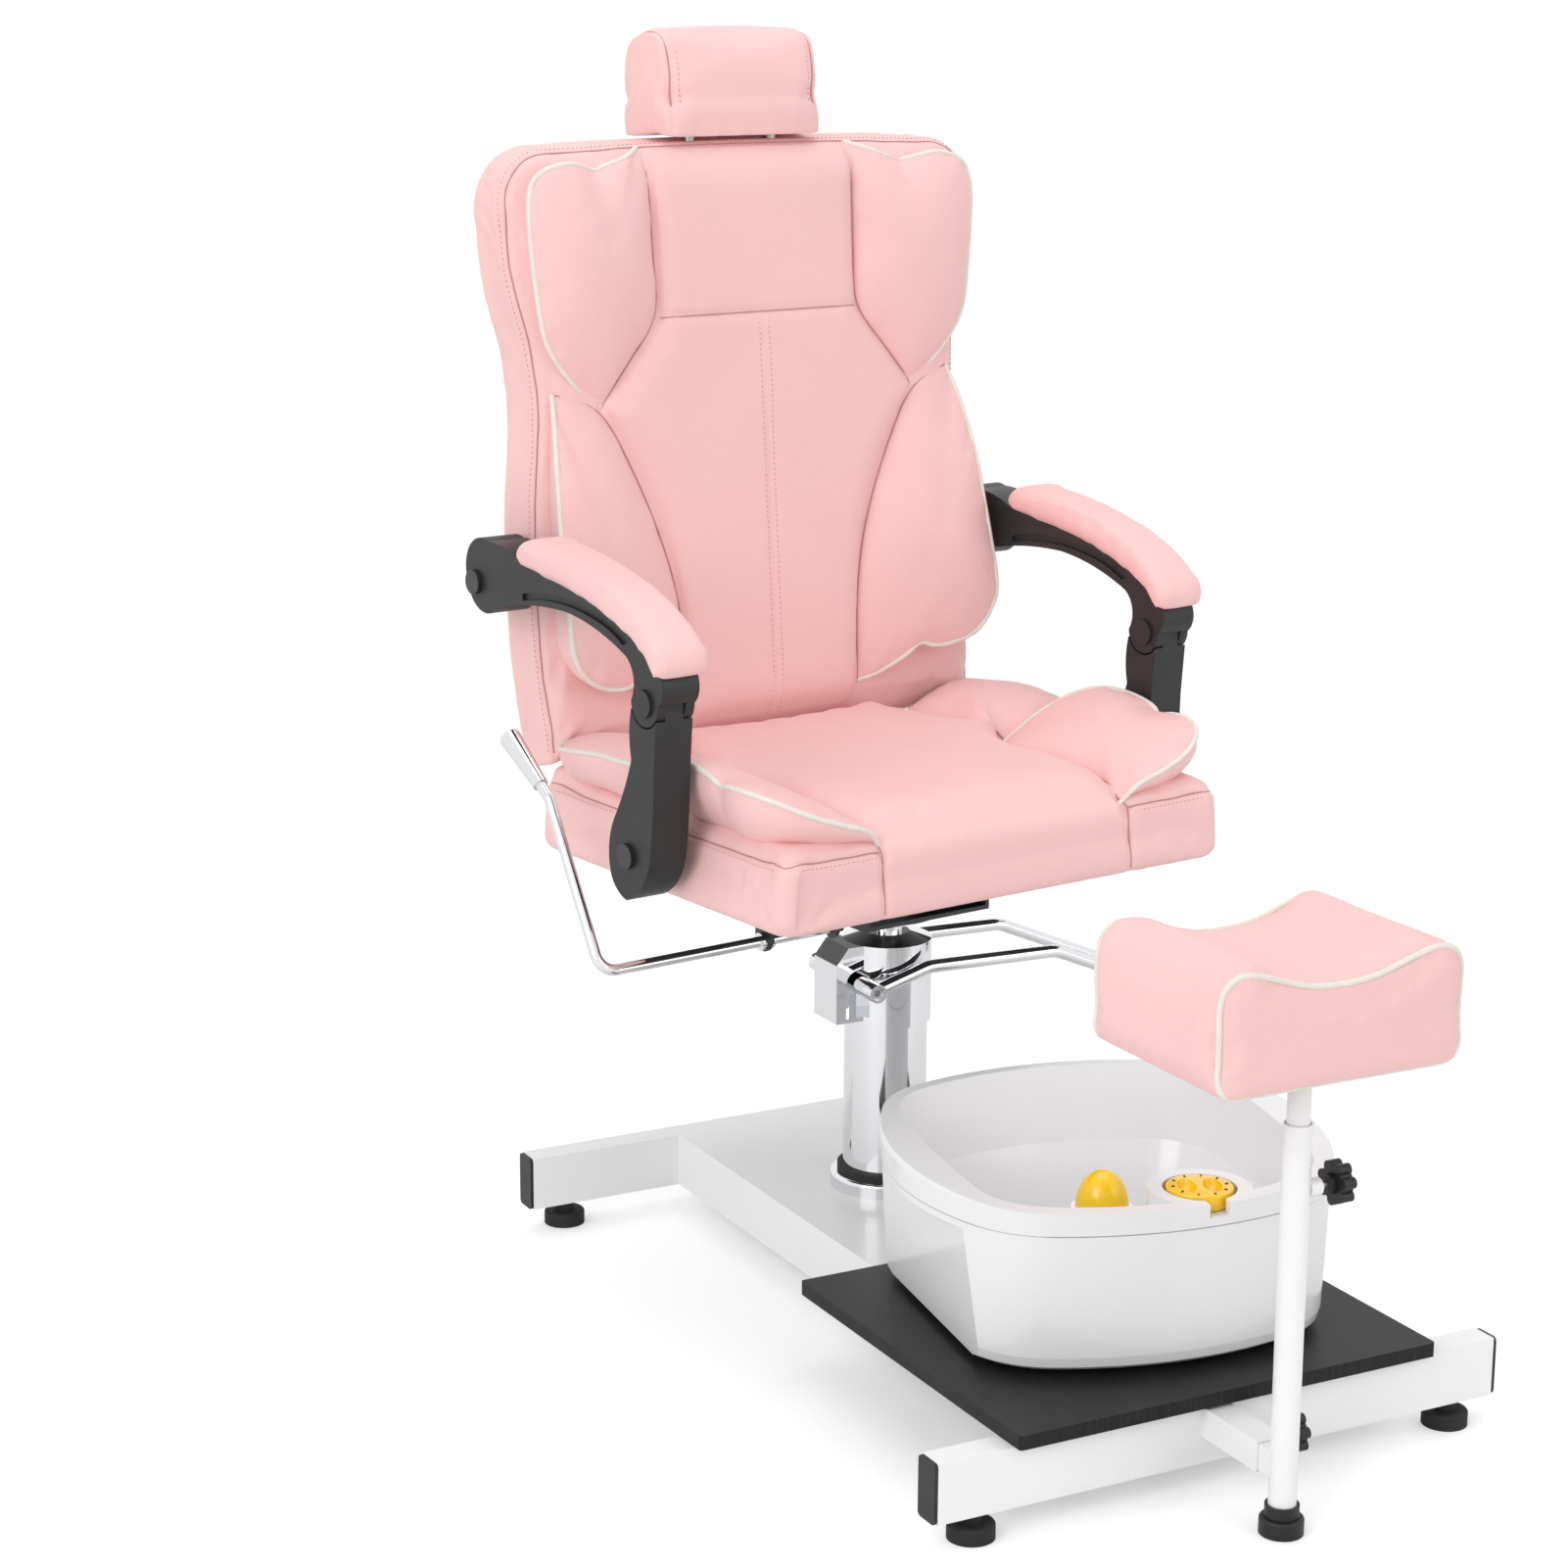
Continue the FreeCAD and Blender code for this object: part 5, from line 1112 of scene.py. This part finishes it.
def on_back(x, up, height):
    """A place before the back, its height counted from the back's front."""
    return back_point(x, -height, up)


UPPER_BOLSTER_INNER = [
    (0.115, 0.539), (0.113, 0.490), (0.112, 0.436), (0.113, 0.389), (0.146, 0.347),
    (0.174, 0.313),
]
UPPER_BOLSTER_OUTER = [
    (0.135, 0.531, 0.004), (0.156, 0.524, 0.004), (0.171, 0.520, 0.003),
    (0.186, 0.523, 0.012), (0.205, 0.526, 0.018), (0.229, 0.521, 0.017),
    (0.242, 0.509, 0.016), (0.246, 0.484, 0.016), (0.243, 0.437, 0.014),
    (0.236, 0.385, 0.012), (0.225, 0.360, 0.009), (0.205, 0.336, 0.006),
    (0.188, 0.322, 0.002),
]
LOWER_BOLSTER_INNER = [
    (0.222, 0.326), (0.199, 0.320), (0.174, 0.307), (0.148, 0.261), (0.1265, 0.214),
    (0.110, 0.165), (0.101, 0.118), (0.099, 0.075), (0.099, 0.034),
]
LOWER_BOLSTER_OUTER = [
    (0.229, 0.290, 0.012), (0.236, 0.240, 0.024), (0.239, 0.200, 0.030),
    (0.240, 0.160, 0.038), (0.242, 0.113, 0.043), (0.234, 0.088, 0.040),
    (0.219, 0.071, 0.037), (0.195, 0.062, 0.031), (0.176, 0.061, 0.027),
    (0.161, 0.065, 0.024), (0.145, 0.054, 0.020), (0.120, 0.040, 0.010),
]


class BackBolstersOperator(bpy.types.Operator):
    """Make the two upper and two lower bolsters of the back."""

    bl_idname = "chair.back_bolsters"
    bl_label = "Back bolsters"

    def execute(self, context):
        bolster_pair("upper_back_bolster", "back_upper_bolsters", UPPER_BOLSTER_INNER,
                     UPPER_BOLSTER_OUTER, undercut=0.006, puff=0.026, to_world=on_back,
                     body="back", cushion="back_upholstery")
        bolster_pair("lower_back_bolster", "back_lower_bolsters", LOWER_BOLSTER_INNER,
                     LOWER_BOLSTER_OUTER, undercut=0.010, puff=0.018, to_world=on_back,
                     body="back", cushion="back_upholstery")
        return {"FINISHED"}


# The headrest's skirt is drawn down to just above the back, and further at its front
SKIRT_TOP = BACK_HEIGHT + 0.024
SKIRT_BLEND = 0.014
SKIRT_DROP = 0.016
SKIRT_GAP = 0.0006
SKIRT_LIP = 0.004
SKIRT_LIP_DEPTH = 0.016
# How far in from its ends the headrest's seams and stitches run, and round what height
CAP_SEAM_INSET = 0.006
CAP_STITCH_INSET = 0.014
CAP_HEIGHT = BACK_HEIGHT + 0.05


class HeadrestOperator(bpy.types.Operator):
    """Make the headrest roll with its sewn end caps."""

    bl_idname = "chair.headrest"
    bl_label = "Headrest"

    def execute(self, context):
        piece = copy_of("headrest_pad", "headrest_upholstery")
        remeshed(piece, HEADREST_CELL)
        up = in_back(points_of(piece))[:, 2]
        held = up < BACK_HEIGHT + HELD_RIM
        smoothed(piece, HEADREST_ROUNDS, (~held).astype(float))
        inflate(piece, held, HEADREST_FULLNESS)
        places = points_of(piece)
        through, up = in_back(places)[:, 1:].T
        drop = SKIRT_DROP * share_of(SKIRT_TOP - up, SKIRT_BLEND)
        floor = BACK_HEIGHT + SKIRT_GAP - SKIRT_LIP * np.clip(1 - through / SKIRT_LIP_DEPTH, 0, 1)
        drop = np.clip(drop, 0, np.maximum(up - floor, 0))
        move_points(piece, places - np.outer(drop, UP_BACK))
        subdivided(piece)
        skin = skin_of(piece)
        lines, rows = [], []
        for side in (-1, 1):
            for inset, keep in ((CAP_SEAM_INSET, lines), (CAP_STITCH_INSET, rows)):
                centre = back_point(side * (HEADREST_HALF_WIDTH - inset), HEADREST_MIDDLE,
                                    CAP_HEIGHT)
                keep.append(loop_round(skin, centre, THROUGH_BACK, UP_BACK))
        seam_shade_lines = sew(piece, lines)
        finished(piece, "pink_leather", "headrest")
        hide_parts("headrest_pad")
        # Dark tubes in the end cap seams: painted shade in their creases
        seam_shade_tubes("headrest_seam_shade", [seam_shade[:-1] for seam_shade in seam_shade_lines], "headrest", closed=True)
        stitched("headrest_stitches", piece, rows, "headrest")
        return {"FINISHED"}


# The footrest pad's flat foot, and how far out its seams lie as a share of its length
FOOTREST_FLAT = 0.006
FOOTREST_END = 0.47
# How far the piping stands off the seam
PIPING_LIFT = 0.001


class FootrestPadOperator(bpy.types.Operator):
    """Make the saddle-shaped footrest pad with piping round both end faces."""

    bl_idname = "chair.footrest_pad"
    bl_label = "Footrest pad"

    def execute(self, context):
        piece = copy_of("footrest_pad", "footrest_upholstery")
        remeshed(piece, FOOTREST_CELL)
        low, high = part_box("footrest_pad")
        held = points_of(piece)[:, 2] < low.z + FOOTREST_FLAT
        smoothed(piece, FOOTREST_ROUNDS, (~held).astype(float))
        inflate(piece, held, FOOTREST_FULLNESS)
        subdivided(piece)
        skin = skin_of(piece)
        middle = (low + high) / 2
        loops = []
        for side in (-1, 1):
            end = middle.y + side * (high.y - low.y) * FOOTREST_END
            centre = Vector((middle.x, end, middle.z))
            loop = loop_round(skin, centre, ALONG_X, ABOVE, FOOTREST_RAYS)
            loops.append(evened_loop(loop, rounds=5))
        sew(piece, loops)
        skin = skin_of(piece)
        finished(piece, "pink_leather", "rest")
        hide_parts("footrest_pad")
        for side, loop in zip(("front", "rear"), loops):
            places, normals = laid_on(skin, loop)
            cord = evened_loop(places + normals * PIPING_LIFT, rounds=3)
            piped(f"footrest_{side}_piping", cord[:-1], "rest", closed=True)
        return {"FINISHED"}


# How far the arm pads grow before their filling
ARM_PAD_GROWTH = 0.0035


class ArmPadsOperator(bpy.types.Operator):
    """Make the two padded tops of the arms."""

    bl_idname = "chair.arm_pads"
    bl_label = "Arm pads"

    def execute(self, context):
        for side in ("left", "right"):
            piece = copy_of(f"{side}_arm_pad", f"{side}_arm_upholstery")
            remeshed(piece, ARM_PAD_CELL)
            free = np.ones(len(piece.data.vertices))
            move_points(piece, points_of(piece) + normals_of(piece) * ARM_PAD_GROWTH)
            smoothed(piece, ARM_PAD_ROUNDS, free)
            inflate(piece, np.zeros(len(free), bool), ARM_PAD_FULLNESS)
            subdivided(piece)
            finished(piece, "pink_leather", f"{side}_armrest")
            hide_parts(f"{side}_arm_pad")
        return {"FINISHED"}


# The radius of the line between the basin's two shells
JOINT_RADIUS = 0.0006


class BasinJointOperator(bpy.types.Operator):
    """Make the joint line between the two shells of the basin."""

    bl_idname = "chair.basin_joint"
    bl_label = "Basin joint"

    def execute(self, context):
        low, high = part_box("basin_casing")
        middle = (low + high) / 2
        centre = Vector((middle.x, middle.y, high.z - JOINT_RADIUS))
        skin = skin_of(NODES["basin_casing"])
        ring = loop_round(skin, centre, ALONG_X, ALONG_Y, JOINT_RAYS)
        line = evened_loop(ring, rounds=6)[:-1]
        joint = tubes("basin_joint", [line], JOINT_RADIUS, closed=True, round_steps=1)
        finished(joint, "joint_shadow", "basin")
        return {"FINISHED"}


# The basin's dial
DIAL_GRIP_HEIGHT = 0.007
DIAL_SHAFT_LENGTH = 0.006
DIAL_FACE_LIFT = 0.001
DIAL_ROUNDING = 0.0016
DIAL_PROBE = 0.01
# Its finger scoops, whose place and sizes are shares of its radius
SCOOP_TURN = math.radians(-24)
SCOOP_PLACE_SHARE = 0.38
SCOOP_SHARES = (0.29, 0.56, 0.34)
SCOOP_RISE = 0.0012
# Its marks, whose places are shares of its radius
DIAL_MARKS = 10
MARK_TURN = 0.3
MARK_SHARES = np.linspace(0.72, 0.92, 6)
MARK_LENGTH = 0.0042
MARK_GAP = 0.0004
MARK_RADIUS = 0.0008


class BasinDialOperator(bpy.types.Operator):
    """Make the basin's dial with its two finger scoops and the marks round its edge."""

    bl_idname = "chair.basin_dial"
    bl_label = "Basin dial"

    def execute(self, context):
        low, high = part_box("basin_dial")
        middle = (low + high) / 2
        radius = (high.x - low.x) / 2
        top = high.z - DIAL_GRIP_HEIGHT + DIAL_FACE_LIFT
        base = low.z + DIAL_SHAFT_LENGTH
        bpy.ops.object.select_all(action="DESELECT")
        bpy.ops.mesh.primitive_cylinder_add(vertices=96, radius=radius, depth=top - base,
                                            location=(middle.x, middle.y, (top + base) / 2))
        dial = context.active_object
        dial.name = "dial_body"
        bpy.ops.object.transform_apply(location=True, rotation=True, scale=True)
        rounded = dial.modifiers.new("Rounded", "BEVEL")
        rounded.width, rounded.segments = DIAL_ROUNDING, 3
        bpy.ops.object.modifier_apply(modifier=rounded.name)
        for side in (1, -1):
            away = side * radius * SCOOP_PLACE_SHARE
            place = (middle.x + away * math.cos(SCOOP_TURN), middle.y + away * math.sin(SCOOP_TURN),
                     top + SCOOP_RISE)
            bpy.ops.object.select_all(action="DESELECT")
            bpy.ops.mesh.primitive_uv_sphere_add(segments=48, ring_count=24, radius=radius,
                                                 location=place, rotation=(0, 0, SCOOP_TURN),
                                                 scale=SCOOP_SHARES)
            scoop = context.active_object
            bpy.ops.object.transform_apply(location=True, rotation=True, scale=True)
            active_only(dial)
            cut = dial.modifiers.new("Scoop", "BOOLEAN")
            cut.operation, cut.solver, cut.object = "DIFFERENCE", "EXACT", scoop
            bpy.ops.object.modifier_apply(modifier=cut.name)
            bpy.data.objects.remove(scoop)
        finished(dial, "yellow_plastic", "dial", smooth=False)
        bpy.ops.object.shade_smooth_by_angle(angle=math.radians(40))
        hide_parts("basin_dial")
        skin = skin_of(dial)
        rows = []
        for number in range(DIAL_MARKS):
            turn = 2 * math.pi * number / DIAL_MARKS + MARK_TURN
            out = Vector((math.cos(turn), math.sin(turn), 0))
            places = []
            for share in MARK_SHARES:
                above = Vector((middle.x, middle.y, high.z + DIAL_PROBE)) + out * radius * share
                hit = skin.ray_cast(above, -ABOVE)[0]
                places.append(hit if hit is not None else above)
            rows.append((np.array(places), np.tile(np.array(ABOVE), (len(places), 1))))
        marks = stitches("dial_marks", rows, MARK_LENGTH, MARK_GAP, MARK_RADIUS)
        finished(marks, "dial_mark", "dial", smooth=False)
        return {"FINISHED"}


# The floor, which fades out between two distances, and the light of the world
FLOOR_SIZE = 14
FLOOR_PALE = (0.9, 0.9, 0.9)
FLOOR_GLOW = (0.3, 0.3, 0.3)
FLOOR_FADE = (1.1, 2.6)
WORLD_STRENGTH = 0.71
# Each lamp's name, place, size and power, and where they all aim
LAMPS = (
    ("key", (-3.1, -1.5, 2.1), 2.2, 45.0),
    ("fill", (1.8, -3.0, 1.6), 2.4, 18.0),
    ("top", (0.2, 0.6, 3.2), 2.4, 22.0),
)
LAMP_AIM = Vector((0, 0, 0.55))
# The camera, placed from the frame's front
CAMERA_PLACE = FRAME_FRONT + Vector((-1.47077, -2.01713, 1.16339))
SENSOR_WIDTH = 36


class StageOperator(bpy.types.Operator):
    """Make the floor, the soft studio light and the camera."""

    bl_idname = "chair.stage"
    bl_label = "Stage"

    def execute(self, context):
        scene = context.scene
        settings = scene.chair_stage
        scene.view_settings.view_transform = "Standard"
        bpy.ops.mesh.primitive_plane_add(size=FLOOR_SIZE, location=(0, 0, 0))
        floor = context.active_object
        floor.name = "floor"
        finish = Finish("floor", FLOOR_PALE, 0.6)
        seen = finish.node("ShaderNodeLightPath", {}, {}, "Is Camera Ray")
        finish.feed("Emission Color", finish.mixed(seen, NO_LIGHT, FLOOR_GLOW))
        finish.shader.inputs["Emission Strength"].default_value = 1.0
        away = finish.node("ShaderNodeVectorMath", {"operation": "LENGTH"}, {0: finish.place},
                           "Value")
        finish.feed("Alpha", 1 - finish.ramp(away, *FLOOR_FADE))
        floor.data.materials.append(finish.material)
        world = bpy.data.worlds.new("studio")
        scene.world = world
        world.use_nodes = True
        tree = world.node_tree
        background = tree.nodes["Background"].inputs
        rays = add_node(tree, "ShaderNodeLightPath", {}, {}).outputs
        white = rays["Is Camera Ray"]
        for name in ("Is Glossy Ray", "Is Transmission Ray"):
            white = add_node(tree, "ShaderNodeMath", {"operation": "MAXIMUM"},
                             {0: white, 1: rays[name]}).outputs[0]
        strength = add_node(tree, "ShaderNodeMapRange", {},
                            {"Value": white, "To Min": WORLD_STRENGTH, "To Max": 1.0})
        tree.links.new(strength.outputs["Result"], background["Strength"])
        background["Color"].default_value = (1, 1, 1, 1)
        for name, place, size, power in LAMPS:
            bpy.ops.object.light_add(type="AREA", location=place)
            lamp = context.active_object
            lamp.name = name
            lamp.data.size = size
            lamp.data.energy = power
            lamp.rotation_mode = "QUATERNION"
            towards = LAMP_AIM - Vector(place)
            lamp.rotation_quaternion = towards.to_track_quat("-Z", "Y")
        bpy.ops.object.camera_add(location=CAMERA_PLACE)
        camera = context.active_object
        camera.name = "camera"
        camera.data.lens = settings.lens
        camera.data.sensor_width = SENSOR_WIDTH
        turn, tilt, roll = settings.turn, settings.tilt, settings.roll
        forward = Vector((math.sin(turn) * math.cos(tilt), math.cos(turn) * math.cos(tilt),
                          -math.sin(tilt)))
        right = forward.cross(ABOVE).normalized()
        upward = right.cross(forward)
        level = Matrix((right, upward, -forward)).transposed()
        camera.rotation_mode = "QUATERNION"
        camera.rotation_quaternion = (level @ Matrix.Rotation(roll, 3, "Z")).to_quaternion()
        scene.camera = camera
        return {"FINISHED"}


OPERATORS = (
    FinishesOperator, SeatCushionOperator, SeatBolstersOperator, BackCushionOperator,
    BackBolstersOperator, HeadrestOperator, FootrestPadOperator, ArmPadsOperator,
    BasinJointOperator, BasinDialOperator, StageOperator,
)
SETTINGS = {"chair_colours": ChairColours, "chair_sewing": ChairSewing, "chair_stage": ChairStage}


class ChairPanel(bpy.types.Panel):
    """The pedicure chair's pieces and settings."""

    bl_idname = "VIEW3D_PT_pedicure_chair"
    bl_label = "Pedicure chair"
    bl_space_type = "VIEW_3D"
    bl_region_type = "UI"
    bl_category = "Pedicure chair"

    def draw(self, context):
        for name, group in SETTINGS.items():
            box = self.layout.box()
            for setting in group.__annotations__:
                box.prop(getattr(context.scene, name), setting)
        for operator in OPERATORS:
            self.layout.operator(operator.bl_idname)


def register():
    """Makes the settings, the operators and the panel known."""
    for group in SETTINGS.values():
        bpy.utils.register_class(group)
    for name, group in SETTINGS.items():
        setattr(bpy.types.Scene, name, bpy.props.PointerProperty(type=group))
    for kind in (*OPERATORS, ChairPanel):
        bpy.utils.register_class(kind)


def unregister():
    """Takes the panel, the operators and the settings away."""
    for kind in (ChairPanel, *reversed(OPERATORS)):
        bpy.utils.unregister_class(kind)
    for name, group in SETTINGS.items():
        delattr(bpy.types.Scene, name)
        bpy.utils.unregister_class(group)


def main():
    """Makes every piece in its order."""
    register()
    bpy.ops.object.select_all(action="DESELECT")
    bpy.ops.chair.finishes()
    bpy.ops.chair.seat_cushion()
    bpy.ops.chair.seat_bolsters()
    bpy.ops.chair.back_cushion()
    bpy.ops.chair.back_bolsters()
    bpy.ops.chair.headrest()
    bpy.ops.chair.footrest_pad()
    bpy.ops.chair.arm_pads()
    bpy.ops.chair.basin_joint()
    bpy.ops.chair.basin_dial()
    bpy.ops.chair.stage()


if __name__ == "__main__":
    main()
